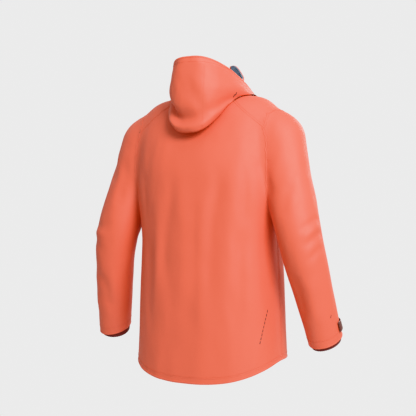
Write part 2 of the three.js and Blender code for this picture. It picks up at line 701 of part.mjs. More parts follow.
function cordLock() {
  const at = lockPlace();
  const { radius, length, bore, depth } = LOCK;
  const body = cylinder(radius, at, above(at, length), 20);
  return body.subtract(cylinder(bore, above(at, length - depth), above(at, length + 1), 16));
}

function lockButton() {
  const at = lockPlace();
  const { length, button, proud, room, off } = LOCK;
  return cylinder(button, above(at, length - off * 2 + room), above(at, length + proud), 16);
}

// ---------------------------------------------------------------- storm flap and chin guard

function stormFlap() {
  const y = RAIL.back + SLIDER.room + SLIDER.wing * 0.6 + FLAP_ROOM;
  return block(V(-FLAP_HALF, y, 6), V(FLAP_HALF, y + LINING, FRONT_LENGTH - 14), zipFrame);
}

// ---------------------------------------------------------------- assembly

const CORAL = "#ee755b";
const BLUE = "#6a8196";
const MAROON = "#793a34";
const DARK = "#3b2a2c";

function material(color, roughness = 0.75, metalness = 0) {
  return new THREE.MeshStandardMaterial({ color, roughness, metalness });
}

function piece(name, solid, color, roughness, metalness) {
  const mesh = new THREE.Mesh(geometryOf(solid), material(color, roughness, metalness));
  mesh.name = name;
  return mesh;
}

const jacket = new THREE.Group();

function addBody() {
  for (const [name, solid] of Object.entries(bodyPanels())) jacket.add(piece(name, solid, CORAL));
  jacket.add(piece("hem_facing", hemFacing(), CORAL));
  jacket.add(piece("collar_shell", collarWall(0, COLLAR_WALL, ZIP_SLOT), CORAL));
  const near = COLLAR_WALL + LAYER_GAP;
  jacket.add(piece("collar_lining", collarWall(near, near + LINING, TAPE_HALF + 4), BLUE, 0.95));
  jacket.add(piece("hanging_loop", hangingLoop(), DARK, 0.9));
}

function addHood() {
  for (const [name, solid] of Object.entries(hoodPieces())) jacket.add(piece(name, solid, CORAL));
  jacket.add(piece("hood_base_band", hoodBase(), CORAL));
}

function addSleeve(side, flip) {
  const parts = {
    upper_sleeve: [upperSleeve(), CORAL],
    lower_sleeve: [lowerSleeve(), CORAL],
    cuff_facing: [cuffHem(), CORAL],
    storm_cuff: [stormCuff(), MAROON],
    cuff_patch: [cuffPatch(), DARK],
    cuff_tab: [cuffTab(), MAROON],
  };
  for (const [name, [solid, color]] of Object.entries(parts)) {
    jacket.add(piece(`${name}_${side}`, flip(solid), color));
  }
}

// A slider and its puller at a height on a zip's own frame.
function addSlider(name, frame, z) {
  const holder = new THREE.Group();
  frame.decompose(holder.position, holder.quaternion, holder.scale);
  const slider = piece(`${name}_slider`, sliderSolid(), DARK, 0.4, 0.6);
  slider.position.set(0, 0, z);
  const puller = piece(`${name}_puller`, pullerSolid(), DARK, 0.5);
  puller.position.set(0, PULL_Y, z + PULL_Z);
  holder.add(slider, puller);
  jacket.add(holder);
}

function addFrontZip() {
  const holder = new THREE.Group();
  zipFrame.decompose(holder.position, holder.quaternion, holder.scale);
  holder.add(piece("zip_tape_left", zipTape(1, FRONT_LENGTH - TAPE_END, TAPE_HALF), DARK));
  holder.add(piece("zip_tape_right", zipTape(-1, FRONT_LENGTH - TAPE_END, TAPE_HALF), DARK));
  jacket.add(holder);
  addSlider("zip_top", zipFrame, FRONT_LENGTH - ZIP_END);
  addSlider("zip_bottom", zipFrame, ZIP_FOOT);
  jacket.add(piece("storm_flap", stormFlap(), CORAL));
}

function addPocket(side, flip) {
  const mirror = new THREE.Matrix4().makeScale(side === "left" ? 1 : -1, 1, 1);
  const place = (solid) => flip(solidOf(geometryOf(solid).applyMatrix4(pocket.matrix)));
  jacket.add(piece(`pocket_zip_${side}`, place(pocketZip()), DARK));
  jacket.add(piece(`pocket_bag_${side}`, flip(pocketBag()), BLUE));
  const frame = mirror.clone().multiply(pocket.matrix).multiply(mirror);
  addSlider(`pocket_${side}`, frame, pocket.length - ZIP_END);
}

function addLock(side, flip) {
  jacket.add(piece(`hem_lock_${side}`, flip(cordLock()), DARK, 0.5));
  jacket.add(piece(`hem_lock_button_${side}`, flip(lockButton()), DARK, 0.5));
}

addBody();
addHood();
addFrontZip();
for (const [side, flip] of [["left", (solid) => solid], ["right", mirrored]]) {
  addSleeve(side, flip);
  addPocket(side, flip);
  addLock(side, flip);
}

export default jacket;
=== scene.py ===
import json
import math

import bmesh
import bpy
import numpy as np
from mathutils import Matrix, Vector, noise
from mathutils.bvhtree import BVHTree

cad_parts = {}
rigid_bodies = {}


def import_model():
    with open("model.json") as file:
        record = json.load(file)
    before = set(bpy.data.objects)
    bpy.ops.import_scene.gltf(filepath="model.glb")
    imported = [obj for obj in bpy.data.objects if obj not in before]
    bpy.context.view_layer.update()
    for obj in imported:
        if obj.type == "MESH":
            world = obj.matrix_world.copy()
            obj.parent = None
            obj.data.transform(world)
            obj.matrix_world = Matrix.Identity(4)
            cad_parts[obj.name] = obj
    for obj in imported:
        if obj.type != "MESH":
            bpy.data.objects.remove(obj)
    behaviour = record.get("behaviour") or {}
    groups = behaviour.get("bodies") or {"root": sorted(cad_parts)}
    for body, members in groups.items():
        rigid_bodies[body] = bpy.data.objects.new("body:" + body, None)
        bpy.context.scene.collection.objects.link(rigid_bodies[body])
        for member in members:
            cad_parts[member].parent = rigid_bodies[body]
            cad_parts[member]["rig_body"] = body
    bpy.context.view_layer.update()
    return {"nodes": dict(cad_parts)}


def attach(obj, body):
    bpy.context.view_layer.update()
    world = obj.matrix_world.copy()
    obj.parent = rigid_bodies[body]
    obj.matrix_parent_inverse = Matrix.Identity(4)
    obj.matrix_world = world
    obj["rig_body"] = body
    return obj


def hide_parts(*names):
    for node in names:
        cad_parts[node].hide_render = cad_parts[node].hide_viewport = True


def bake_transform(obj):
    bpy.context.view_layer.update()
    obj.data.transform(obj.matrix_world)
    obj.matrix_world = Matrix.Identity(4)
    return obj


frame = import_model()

# ---------------------------------------------------------------- camera, light and floor

VIEW_AZIMUTH = math.radians(207)
VIEW_BACK = Vector((math.sin(VIEW_AZIMUTH), -math.cos(VIEW_AZIMUTH), 0))  # from the jacket to the camera
VIEW_RIGHT = Vector((math.cos(VIEW_AZIMUTH), math.sin(VIEW_AZIMUTH), 0))
VIEW_DISTANCE = 2.9
VIEW_CENTRE_Z = -0.311
VIEW_CENTRE_RIGHT = -0.012
VIEW_WIDTH = 1.212  # width of the view at the jacket
SENSOR = 0.036
BACKDROP = (0.9156, 0.9156, 0.9156, 1)
AMBIENT_COLOR, AMBIENT = (1, 0.97, 0.95, 1), 0.62  # even light from all round
FLOOR_RADIUS, FLOOR_Z = 1.3, -1.55
LIGHT_DISTANCE = {"key": 3.4, "top": 2.6, "front": 3.4}
LIGHTS = {  # azimuth and elevation in degrees, size, power
    "key": (232, 28, 1.4, 135),
    "top": (230, 72, 1.2, 16),
    "front": (345, 25, 1.4, 60),
}


def make_camera():
    data = bpy.data.cameras.new("camera")
    data.sensor_width = SENSOR * 1000
    data.lens = SENSOR * 1000 * VIEW_DISTANCE / VIEW_WIDTH
    camera = bpy.data.objects.new("camera", data)
    camera.location = VIEW_RIGHT * VIEW_CENTRE_RIGHT + Vector((0, 0, VIEW_CENTRE_Z)) + VIEW_BACK * VIEW_DISTANCE
    camera.rotation_euler = VIEW_BACK.to_track_quat("Z", "Y").to_euler()
    bpy.context.scene.collection.objects.link(camera)
    bpy.context.scene.camera = camera


def add_area(name, azimuth, elevation, size, power):
    """A soft light that looks at the middle of the jacket from an azimuth, as the camera's is counted."""
    a, e = math.radians(azimuth), math.radians(elevation)
    away = Vector((math.sin(a) * math.cos(e), -math.cos(a) * math.cos(e), math.sin(e)))
    data = bpy.data.lights.new(name, "AREA")
    data.size = size
    data.energy = power
    light = bpy.data.objects.new(name, data)
    light.location = Vector((0, 0, VIEW_CENTRE_Z)) + away * LIGHT_DISTANCE[name]
    light.rotation_euler = away.to_track_quat("Z", "Y").to_euler()
    bpy.context.scene.collection.objects.link(light)


def make_world():
    """A pale backdrop, and a dimmer even light on the jacket."""
    world = bpy.data.worlds.new("studio")
    world.use_nodes = True
    tree = world.node_tree
    backdrop = tree.nodes["Background"]
    backdrop.inputs["Color"].default_value = BACKDROP
    ambient = tree.nodes.new("ShaderNodeBackground")
    ambient.inputs["Color"].default_value = AMBIENT_COLOR
    ambient.inputs["Strength"].default_value = AMBIENT
    seen = tree.nodes.new("ShaderNodeMixShader")
    tree.links.new(tree.nodes.new("ShaderNodeLightPath").outputs["Is Camera Ray"], seen.inputs[0])
    tree.links.new(ambient.outputs[0], seen.inputs[1])
    tree.links.new(backdrop.outputs[0], seen.inputs[2])
    tree.links.new(seen.outputs[0], tree.nodes["World Output"].inputs["Surface"])
    return world


def make_studio():
    scene = bpy.context.scene
    scene.view_settings.view_transform = "Khronos PBR Neutral"
    scene.world = make_world()
    for name, light in LIGHTS.items():
        add_area(name, *light)
    mesh = bpy.data.meshes.new("floor")
    plane = bmesh.new()
    bmesh.ops.create_circle(plane, cap_ends=True, segments=96, radius=FLOOR_RADIUS)
    plane.to_mesh(mesh)
    plane.free()
    floor = bpy.data.objects.new("floor", mesh)
    floor.location.z = FLOOR_Z
    mesh.materials.append(plain_material("floor_paper", (0.8, 0.8, 0.8), 0.9))
    scene.collection.objects.link(floor)


# ---------------------------------------------------------------- materials

def plain_material(name, color, roughness):
    material = bpy.data.materials.new(name)
    material.use_nodes = True
    shader = material.node_tree.nodes["Principled BSDF"]
    shader.inputs["Base Color"].default_value = (*color, 1)
    shader.inputs["Roughness"].default_value = roughness
    return material


def linear(*srgb):
    return tuple((c / 255 / 12.92) if c < 10 else ((c / 255 + 0.055) / 1.055) ** 2.4 for c in srgb)


def between(tree, value, low, high):
    """A 0 to 1 value spread over a range."""
    spread = tree.nodes.new("ShaderNodeMapRange")
    spread.inputs["To Min"].default_value = low
    spread.inputs["To Max"].default_value = high
    tree.links.new(value, spread.inputs["Value"])
    return spread.outputs["Result"]


def noise_field(tree, place, scale, detail=2.0):
    node = tree.nodes.new("ShaderNodeTexNoise")
    node.inputs["Scale"].default_value = scale
    node.inputs["Detail"].default_value = detail
    tree.links.new(place, node.inputs["Vector"])
    return node.outputs["Fac"]


def mixed_color(tree, share, color_a, color_b):
    node = tree.nodes.new("ShaderNodeMix")
    node.data_type = "RGBA"
    node.inputs[6].default_value = (*color_a, 1)
    node.inputs[7].default_value = (*color_b, 1)
    tree.links.new(share, node.inputs[0])
    return node.outputs[2]


def raise_relief(tree, height, strength, distance):
    shader = tree.nodes["Principled BSDF"]
    relief = tree.nodes.new("ShaderNodeBump")
    relief.inputs["Strength"].default_value = strength
    relief.inputs["Distance"].default_value = distance
    tree.links.new(height, relief.inputs["Height"])
    tree.links.new(relief.outputs["Normal"], shader.inputs["Normal"])


def fabric(name, base, dark, weave=900.0, roughness=0.58, sheen=0.06, tint=(1, 0.8, 0.7), bump=0.12, fuzz=0.0):
    """Woven cloth: fine threads both ways, a slow change of tone over the cloth and a soft sheen."""
    material = plain_material(name, base, roughness)
    tree = material.node_tree
    shader = tree.nodes["Principled BSDF"]
    place = tree.nodes.new("ShaderNodeTexCoord").outputs["Object"]

    def wave(direction):
        node = tree.nodes.new("ShaderNodeTexWave")
        node.bands_direction = direction
        node.inputs["Scale"].default_value = weave
        node.inputs["Distortion"].default_value = 0.4
        tree.links.new(place, node.inputs["Vector"])
        return node.outputs["Fac"]

    def math_node(operation, a, b):
        node = tree.nodes.new("ShaderNodeMath")
        node.operation = operation
        tree.links.new(a, node.inputs[0])
        if isinstance(b, float):
            node.inputs[1].default_value = b
        else:
            tree.links.new(b, node.inputs[1])
        return node.outputs[0]

    threads = math_node("ADD", wave("DIAGONAL"), wave("Z"))
    grain = math_node("MULTIPLY", noise_field(tree, place, weave * 0.8, 3.0), 0.6 + fuzz)
    tone = math_node("MULTIPLY", noise_field(tree, place, 9.0, 4.0), 0.55)
    speck = math_node("MULTIPLY", noise_field(tree, place, 420.0), 0.45)
    color = mixed_color(tree, math_node("ADD", tone, speck), dark, base)
    tree.links.new(color, shader.inputs["Base Color"])
    gloss = between(tree, noise_field(tree, place, 60.0, 3.0), roughness - 0.07, roughness + 0.07)
    tree.links.new(gloss, shader.inputs["Roughness"])
    shader.inputs["Sheen Weight"].default_value = sheen
    shader.inputs["Sheen Roughness"].default_value = 0.45
    shader.inputs["Sheen Tint"].default_value = (*tint, 1)
    raise_relief(tree, math_node("ADD", threads, grain), bump, 0.0004)
    return material


EDGE_WEAR = (0.5, 0.48, 0.46)


def solid_finish(name, base, roughness, metallic=0.0, coat=0.0, grain=260.0):
    """Moulded plastic or coated metal: fine grain, slow change of gloss and paler worn edges."""
    material = plain_material(name, base, roughness)
    tree = material.node_tree
    shader = tree.nodes["Principled BSDF"]
    shader.inputs["Metallic"].default_value = metallic
    shader.inputs["Coat Weight"].default_value = coat
    place = tree.nodes.new("ShaderNodeTexCoord").outputs["Object"]
    gloss = between(tree, noise_field(tree, place, grain / 8), roughness - 0.1, roughness + 0.1)
    tree.links.new(gloss, shader.inputs["Roughness"])
    worn = between(tree, tree.nodes.new("ShaderNodeNewGeometry").outputs["Pointiness"], 0.0, 0.6)
    worn.node.inputs["From Min"].default_value = 0.52
    worn.node.inputs["From Max"].default_value = 0.62
    tree.links.new(mixed_color(tree, worn, base, EDGE_WEAR), shader.inputs["Base Color"])
    raise_relief(tree, noise_field(tree, place, grain), 0.1, 0.0002)
    return material


def shade(color, share):
    return tuple(c * share for c in color)


def make_materials():
    coral = (0.72, 0.144, 0.083)
    fleece, fleece_dark = linear(108, 131, 152), linear(80, 101, 122)
    inside, inside_dark = linear(96, 104, 116), linear(74, 82, 94)
    cuff, cuff_dark = linear(122, 58, 52), linear(92, 42, 40)
    tab, tab_dark = linear(106, 60, 52), linear(84, 46, 42)
    web, web_dark = linear(58, 44, 46), linear(40, 30, 33)
    mark, mark_dark = linear(98, 62, 60), linear(78, 50, 50)
    return {
        "shell": fabric("coral_shell", shade(coral, 1.02), shade(coral, 0.86)),
        "shell_seam": fabric("coral_seam", shade(coral, 0.97), shade(coral, 0.88), bump=0.2),
        "thread": fabric("coral_thread", shade(coral, 0.92), shade(coral, 0.8), bump=0.3),
        "lining": fabric("blue_fleece", fleece, fleece_dark, weave=420, roughness=0.9, sheen=0.6,
                         tint=(0.8, 0.9, 1), bump=0.6, fuzz=1.2),
        "cuff": fabric("dark_cuff", cuff, cuff_dark, weave=500, roughness=0.85, bump=0.4),
        "tab": fabric("tab_rubber", tab, tab_dark, weave=300, roughness=0.55, bump=0.1),
        "dark": fabric("dark_webbing", web, web_dark, weave=500, roughness=0.8, bump=0.5),
        "inside": fabric("inner_lining", inside, inside_dark, weave=600, roughness=0.75, tint=(0.9, 0.95, 1)),
        "plastic": solid_finish("zip_teeth", linear(62, 46, 48), 0.45),
        "lock": solid_finish("moulded_lock", linear(40, 38, 40), 0.5),
        "puller": solid_finish("puller_rubber", linear(58, 44, 44), 0.6),
        "metal": solid_finish("coated_slider", linear(96, 84, 82), 0.35, metallic=0.7, coat=0.3),
        "mark": fabric("reflective_print", mark, mark_dark, roughness=0.4, bump=0.02),
    }


# ---------------------------------------------------------------- the garment's surface

NECK_HALF, NECK_BACK_Y, NECK_SIDE_Z, NECK_FRONT_Z = 0.090, 0.072, 0.015, -0.065
CHEST_HALF, WAIST_HALF, HEM_HALF = 0.213, 0.207, 0.221
CHEST_Z, ARMPIT_Z, WAIST_Z = -0.200, -0.262, -0.400
BACK_DEPTH = 0.150
FRONT_TOP = (-0.105, 0.097)
FRONT_FOOT = (-0.150, -0.738)
HEM_BACK_Z = -0.800
SQUARENESS = 2.5
SHOULDER = Vector((0.212, 0.010, -0.110))
ELBOW = Vector((0.297, 0.056, -0.402))
WRIST = Vector((0.343, -0.019, -0.676))
HEAD_RADIUS, ELBOW_RADIUS, CUFF_RADIUS = 0.077, 0.061, 0.048
CUFF_SLANT = math.radians(11)
SLEEVE_FLAT = 0.08  # how much the back of the upper sleeve lies flatter than round
CHEST_FULL = 0.012  # ease of the cloth over the shoulder blades
UPPER_LENGTH = (ELBOW - SHOULDER).length
ARM_LENGTH = UPPER_LENGTH + (WRIST - ELBOW).length
UPPER_DIR = (ELBOW - SHOULDER).normalized()
FORE_DIR = (WRIST - ELBOW).normalized()
ELBOW_AXIS = UPPER_DIR.cross(FORE_DIR).normalized()
ELBOW_SOFT = 0.075  # the arm's centre line is rounded this far to each side of the elbow


def mix(a, b, t):
    return a + (b - a) * t


def smooth(t):
    t = np.clip(t, 0, 1)
    return t * t * (3 - 2 * t)


def front_y(z):
    return mix(FRONT_FOOT[0], FRONT_TOP[0], (z - FRONT_FOOT[1]) / (FRONT_TOP[1] - FRONT_FOOT[1]))


def half_width(z):
    if z > WAIST_Z:
        return mix(WAIST_HALF, CHEST_HALF, min(1, (z - WAIST_Z) / (ARMPIT_Z - WAIST_Z)))
    return mix(WAIST_HALF, HEM_HALF, min(1, (z - WAIST_Z) / (FRONT_FOOT[1] - WAIST_Z)))


def signed_power(v, p):
    return math.copysign(abs(v) ** p, v)


def bump(v, middle, width):
    return math.exp(-(((v - middle) / width) ** 2))


def body_point(angle, z, dip=0.0):
    c, s = math.cos(angle), math.sin(angle)
    depth = BACK_DEPTH if s > 0 else -front_y(z)
    power = 2 / SQUARENESS
    wide = half_width(z) + CHEST_FULL * bump(z, -0.23, 0.10)
    return Vector((wide * signed_power(c, power), depth * signed_power(s, power), z - dip))


def neck_point(angle):
    s = math.sin(angle)
    fall = NECK_SIDE_Z if s > 0 else NECK_SIDE_Z - NECK_FRONT_Z
    y = mix(front_y(NECK_FRONT_Z), NECK_BACK_Y, (1 + s) / 2)
    return Vector((NECK_HALF * math.cos(angle), y, NECK_SIDE_Z - fall * s * s))


BEND = {
    "side": (0.55, -0.013, 1.1, 0.240),
    "back": (0.15, -0.040, 0.72, 0.100),
    "front": (1 / 3, (CHEST_Z - NECK_FRONT_Z) / 3, 2 / 3, (NECK_FRONT_Z - CHEST_Z) / 3),
}


def shoulder_point(angle, t):
    neck = neck_point(angle)
    chest = body_point(angle, CHEST_Z)
    sideways = math.cos(angle) ** 2
    middle = BEND["back"] if math.sin(angle) > 0 else BEND["front"]
    near_share, near_z, far_share, far_z = (mix(m, s, sideways) for m, s in zip(middle, BEND["side"]))
    near = neck.lerp(chest, near_share)
    near.z = neck.z + near_z
    far = neck.lerp(chest, far_share)
    far.z = chest.z + far_z
    u = 1 - t
    return neck * u**3 + near * (3 * u * u * t) + far * (3 * u * t * t) + chest * t**3


def hem_z(angle):
    return mix(FRONT_FOOT[1], HEM_BACK_Z, max(0, math.sin(angle)) ** 1.4)


def lower_point(angle, z):
    share = (CHEST_Z - z) / (CHEST_Z - FRONT_FOOT[1])
    return body_point(angle, z, share**3 * (FRONT_FOOT[1] - hem_z(angle)))


TORSO_COLS = 120
YOKE_ROWS = 22
LOWER_ROWS = 52


def torso_grid():
    angles = [math.radians(360 * i / TORSO_COLS - 90) for i in range(TORSO_COLS)]
    rows = [[shoulder_point(a, r / YOKE_ROWS) for a in angles] for r in range(YOKE_ROWS)]
    for r in range(LOWER_ROWS + 1):
        z = mix(CHEST_Z, FRONT_FOOT[1], r / LOWER_ROWS)
        rows.append([lower_point(a, z) for a in angles])
    return rows


SLEEVE_COLS, SLEEVE_ROWS = 48, 80
SLANT_REACH = 0.16  # the cuff's slope fades out this far up the sleeve


def arm_centre(s):
    """Point and direction of the arm's centre line at a distance s from the shoulder."""
    if s < UPPER_LENGTH - ELBOW_SOFT:
        return SHOULDER + UPPER_DIR * s, UPPER_DIR
    if s > UPPER_LENGTH + ELBOW_SOFT:
        return ELBOW + FORE_DIR * (s - UPPER_LENGTH), FORE_DIR
    t = (s - UPPER_LENGTH + ELBOW_SOFT) / (2 * ELBOW_SOFT)
    start, end = ELBOW - UPPER_DIR * ELBOW_SOFT, ELBOW + FORE_DIR * ELBOW_SOFT
    point = start * (1 - t) ** 2 + ELBOW * (2 * t * (1 - t)) + end * t * t
    return point, UPPER_DIR.lerp(FORE_DIR, t).normalized()


def sleeve_radius(s):
    if s < UPPER_LENGTH:
        return mix(HEAD_RADIUS, ELBOW_RADIUS, s / UPPER_LENGTH)
    return mix(ELBOW_RADIUS, CUFF_RADIUS, (s - UPPER_LENGTH) / (ARM_LENGTH - UPPER_LENGTH))


CUFF_TILT = {1: math.radians(13), -1: 0.0}  # how much longer the outer side of each cuff hangs


def cuff_slope(side):
    tilt = Matrix.Rotation(CUFF_TILT[side], 3, "Y")
    return tilt @ Matrix.Rotation(-CUFF_SLANT, 3, "X") @ FORE_DIR


def sleeve_grid(hand):
    """Rings of a sleeve from its head to the cuff; made for the left, hand says whose cuff."""
    rows = []
    for k in range(1, 9):
        polar = math.radians(90 * k / 9)
        centre = SHOULDER - UPPER_DIR * HEAD_RADIUS * math.cos(polar)
        rows.append((centre, UPPER_DIR, HEAD_RADIUS * math.sin(polar), 0, 1))
    for s in (ARM_LENGTH * k / SLEEVE_ROWS for k in range(SLEEVE_ROWS + 1)):
        flat = float(smooth((0.30 - s) / 0.16))
        slant = smooth((s - ARM_LENGTH + SLANT_REACH) / SLANT_REACH)
        rows.append((*arm_centre(s), sleeve_radius(s), slant, flat))
    slope = cuff_slope(hand)
    grid = []
    for centre, direction, radius, slant, flat in rows:
        across = direction.cross(ELBOW_AXIS).normalized()
        ring = []
        for c in range(SLEEVE_COLS):
            angle = 2 * math.pi * c / SLEEVE_COLS
            arm = (ELBOW_AXIS * math.cos(angle) + across * math.sin(angle)) * radius
            if arm.y > 0:
                arm.y *= 1 - SLEEVE_FLAT * flat
            slide = -arm.dot(slope) / FORE_DIR.dot(slope) * slant
            ring.append(centre + arm + FORE_DIR * float(slide))
        grid.append(ring)
    return grid


# ---------------------------------------------------------------- meshes

BODY_SLOT, SLEEVE_SLOT, CAP_SLOT = 0, 1, 2


def mesh_object(name, points, faces, slots=None):
    mesh = bpy.data.meshes.new(name)
    mesh.from_pydata([tuple(p) for p in points], [], faces)
    if slots is not None:
        mesh.polygons.foreach_set("material_index", slots)
    mesh.update()
    obj = bpy.data.objects.new(name, mesh)
    bpy.context.scene.collection.objects.link(obj)
    return obj


def grid_faces(rows, cols, wraps, offset=0):
    span = cols if wraps else cols - 1
    faces = []
    for r in range(rows - 1):
        for c in range(span):
            d = (c + 1) % cols
            a = offset + r * cols
            faces.append((a + c, a + cols + c, a + cols + d, a + d))
    return faces


def tube_faces(rows, cols, base):
    """Faces round a tube of rows of points, with its two ends capped."""
    faces = []
    for r in range(base, base + (rows - 1) * cols, cols):
        for c in range(cols):
            d = (c + 1) % cols
            faces.append((r + c, r + d, r + cols + d, r + cols + c))
    faces.append(tuple(range(base, base + cols)))
    faces.append(tuple(reversed(range(base + (rows - 1) * cols, base + rows * cols))))
    return faces


def facing_back(name, points, faces, probe):
    """A mesh and its faces, turned over if need be, so that face number probe looks to the back."""
    made = mesh_object(name, points, faces)
    if made.data.polygons[probe].normal.y < 0:
        bpy.data.objects.remove(made)
        faces = [tuple(reversed(f)) for f in faces]
        made = mesh_object(name, points, faces)
    return made, faces


def set_smooth(obj, smooth_shaded=True):
    obj.data.polygons.foreach_set("use_smooth", [smooth_shaded] * len(obj.data.polygons))


def recalculate_normals(obj):
    bm = bmesh.new()
    bm.from_mesh(obj.data)
    bmesh.ops.recalc_face_normals(bm, faces=bm.faces)
    bm.to_mesh(obj.data)
    bm.free()


def flip(v, side):
    return Vector((v.x * side, v.y, v.z))


def closed_tube(name, grid, slot):
    """A closed solid from rings of points, its two ends capped."""
    rows, cols = len(grid), len(grid[0])
    points = [p for ring in grid for p in ring]
    faces = grid_faces(rows, cols, True)
    slots = [slot] * len(faces)
    faces.append(tuple(range(cols)))
    faces.append(tuple(reversed(range((rows - 1) * cols, rows * cols))))
    slots += [CAP_SLOT, CAP_SLOT]
    obj = mesh_object(name, points, faces, slots)
    for _ in range(3):
        obj.data.materials.append(None)
    recalculate_normals(obj)
    return obj


def apply_modifiers(obj):
    depsgraph = bpy.context.evaluated_depsgraph_get()
    mesh = bpy.data.meshes.new_from_object(obj.evaluated_get(depsgraph))
    obj.modifiers.clear()
    obj.data = mesh


def vertex_values(mesh, kind):
    values = np.empty(len(mesh.vertices) * 3)
    mesh.vertices.foreach_get(kind, values)
    return values.reshape(-1, 3)


def coordinates(mesh):
    return vertex_values(mesh, "co")


def normals(mesh):
    return vertex_values(mesh, "normal")


def set_coordinates(mesh, co):
    mesh.vertices.foreach_set("co", np.ascontiguousarray(co, dtype=np.float32).ravel())
    mesh.update()


def garment_mesh():
    """Body and sleeves joined along the armhole seams, open at the neck, hem and cuffs."""
    body = closed_tube("garment", torso_grid(), BODY_SLOT)
    for side in (1, -1):
        rings = [[flip(p, side) for p in ring] for ring in sleeve_grid(side)]
        sleeve = closed_tube("sleeve", rings, SLEEVE_SLOT)
        modifier = body.modifiers.new("union", "BOOLEAN")
        modifier.operation = "UNION"
        modifier.solver = "EXACT"
        modifier.object = sleeve
        apply_modifiers(body)
        bpy.data.objects.remove(sleeve)
    bm = bmesh.new()
    bm.from_mesh(body.data)
    bmesh.ops.delete(bm, geom=[f for f in bm.faces if f.material_index == CAP_SLOT], context="FACES")
    bmesh.ops.delete(bm, geom=[v for v in bm.verts if not v.link_faces], context="VERTS")
    bmesh.ops.remove_doubles(bm, verts=bm.verts, dist=0.0004)
    bm.to_mesh(body.data)
    bm.free()
    return body


# ---------------------------------------------------------------- folds

# Soft folds of the back, as places across and up it; a negative depth is a valley. Width and depth in metres.
BACK_FOLDS = [
    (0.020, -0.0050, [(-0.100, -0.15), (-0.094, -0.25), (-0.072, -0.36), (-0.060, -0.58)]),
    (0.018, -0.0040, [(0.036, -0.17), (0.062, -0.32), (0.080, -0.42), (0.085, -0.56)]),
    (0.022, 0.0040, [(-0.134, -0.15), (-0.136, -0.37), (-0.120, -0.60)]),
    (0.020, 0.0035, [(0.020, -0.20), (0.012, -0.36), (0.018, -0.62)]),
    (0.016, -0.0030, [(-0.016, -0.28), (-0.022, -0.44), (-0.012, -0.70)]),
    (0.020, 0.0030, [(-0.060, -0.20), (-0.048, -0.34), (-0.034, -0.52), (-0.030, -0.70)]),
    (0.018, 0.0030, [(0.096, -0.22), (0.112, -0.44), (0.120, -0.66)]),
    (0.020, -0.0035, [(0.150, -0.36), (0.152, -0.50), (0.146, -0.72)]),
    (0.020, -0.0035, [(-0.172, -0.34), (-0.166, -0.48), (-0.150, -0.70)]),
    (0.016, -0.0030, [(-0.196, -0.16), (-0.186, -0.28), (-0.190, -0.38)]),
    (0.014, -0.0030, [(0.190, -0.18), (0.178, -0.27), (0.184, -0.37)]),
]
FRONT_FOLDS = [
    (0.020, -0.0040, [(-0.090, -0.16), (-0.084, -0.30), (-0.060, -0.44)]),
    (0.020, -0.0040, [(0.092, -0.15), (0.080, -0.28), (0.064, -0.42)]),
    (0.022, 0.0035, [(0.130, -0.18), (0.126, -0.34), (0.160, -0.44)]),
    (0.022, 0.0035, [(-0.128, -0.17), (-0.130, -0.32), (-0.164, -0.43)]),
    (0.018, -0.0035, [(0.186, -0.36), (0.178, -0.52), (0.186, -0.72)]),
    (0.018, -0.0035, [(-0.188, -0.34), (-0.180, -0.54), (-0.184, -0.72)]),
    (0.018, 0.0030, [(0.076, -0.48), (0.070, -0.60), (0.080, -0.72)]),
    (0.018, 0.0030, [(-0.074, -0.50), (-0.078, -0.62), (-0.070, -0.72)]),
]
# Folds of the sleeves: places as distance down the arm, from the shoulder or from the elbow, and degrees round it
# from the outer side towards the back. 1 is the wearer's left.
ARM_FOLDS = {
    (1, UPPER_LENGTH): [
        (0.010, -0.0025, [(-0.045, 30), (-0.030, 60), (-0.050, 110)]),
        (0.011, -0.0025, [(0.020, 20), (0.012, 40), (0.036, 90)]),
        (0.010, 0.0035, [(-0.008, 0), (-0.010, 50), (-0.012, 100)]),
        (0.010, -0.0050, [(-0.03, 200), (0, 250), (-0.02, 300)]),
        (0.009, -0.0050, [(0.03, 210), (0.02, 255), (0.04, 300)]),
        (0.016, -0.0040, [(0.08, 60), (0.14, 90), (0.22, 100)]),
        (0.016, 0.0035, [(0.08, 20), (0.15, 45), (0.24, 40)]),
        (0.014, -0.0035, [(0.10, 320), (0.17, 300), (0.25, 310)]),
    ],
    (1, 0): [
        (0.016, -0.0040, [(0.06, 70), (0.13, 95), (0.22, 100)]),
        (0.016, -0.0035, [(0.07, 20), (0.12, 45), (0.16, 60)]),
        (0.018, -0.0040, [(0.10, 170), (0.16, 190), (0.22, 200)]),
    ],
    (-1, UPPER_LENGTH): [
        (0.007, -0.0050, [(-0.050, -10), (-0.042, 25), (-0.020, 70)]),
        (0.008, -0.0050, [(-0.010, -20), (-0.004, 20), (0.020, 70)]),
        (0.008, 0.0040, [(-0.030, -14), (-0.022, 24), (0, 70)]),
        (0.008, -0.0045, [(0.028, -10), (0.034, 30), (0.056, 66)]),
        (0.010, -0.0050, [(-0.03, 200), (0, 250), (-0.02, 300)]),
        (0.009, -0.0050, [(0.03, 210), (0.02, 255), (0.04, 300)]),
        (0.018, -0.0050, [(0.06, 120), (0.13, 112), (0.22, 118)]),
        (0.018, 0.0035, [(0.08, 60), (0.15, 70), (0.25, 66)]),
        (0.014, -0.0035, [(0.10, 320), (0.17, 300), (0.25, 310)]),
    ],
    (-1, 0): [
        (0.016, -0.0040, [(0.05, 120), (0.11, 128), (0.20, 118)]),
        (0.016, -0.0030, [(0.14, 60), (0.20, 86), (0.26, 104)]),
    ],
}


def arm_point(side, s, degrees):
    """Place on a sleeve: side is 1 for the wearer's left, s runs down the arm, degrees go outwards to back."""
    centre, direction = arm_centre(s)
    outward = (Vector((1, 0, 0)) - direction * direction.x).normalized()
    back = outward.cross(direction).normalized()
    if back.y < 0:
        back = -back
    a = math.radians(degrees)
    return flip(centre + (outward * math.cos(a) + back * math.sin(a)) * sleeve_radius(s), side)


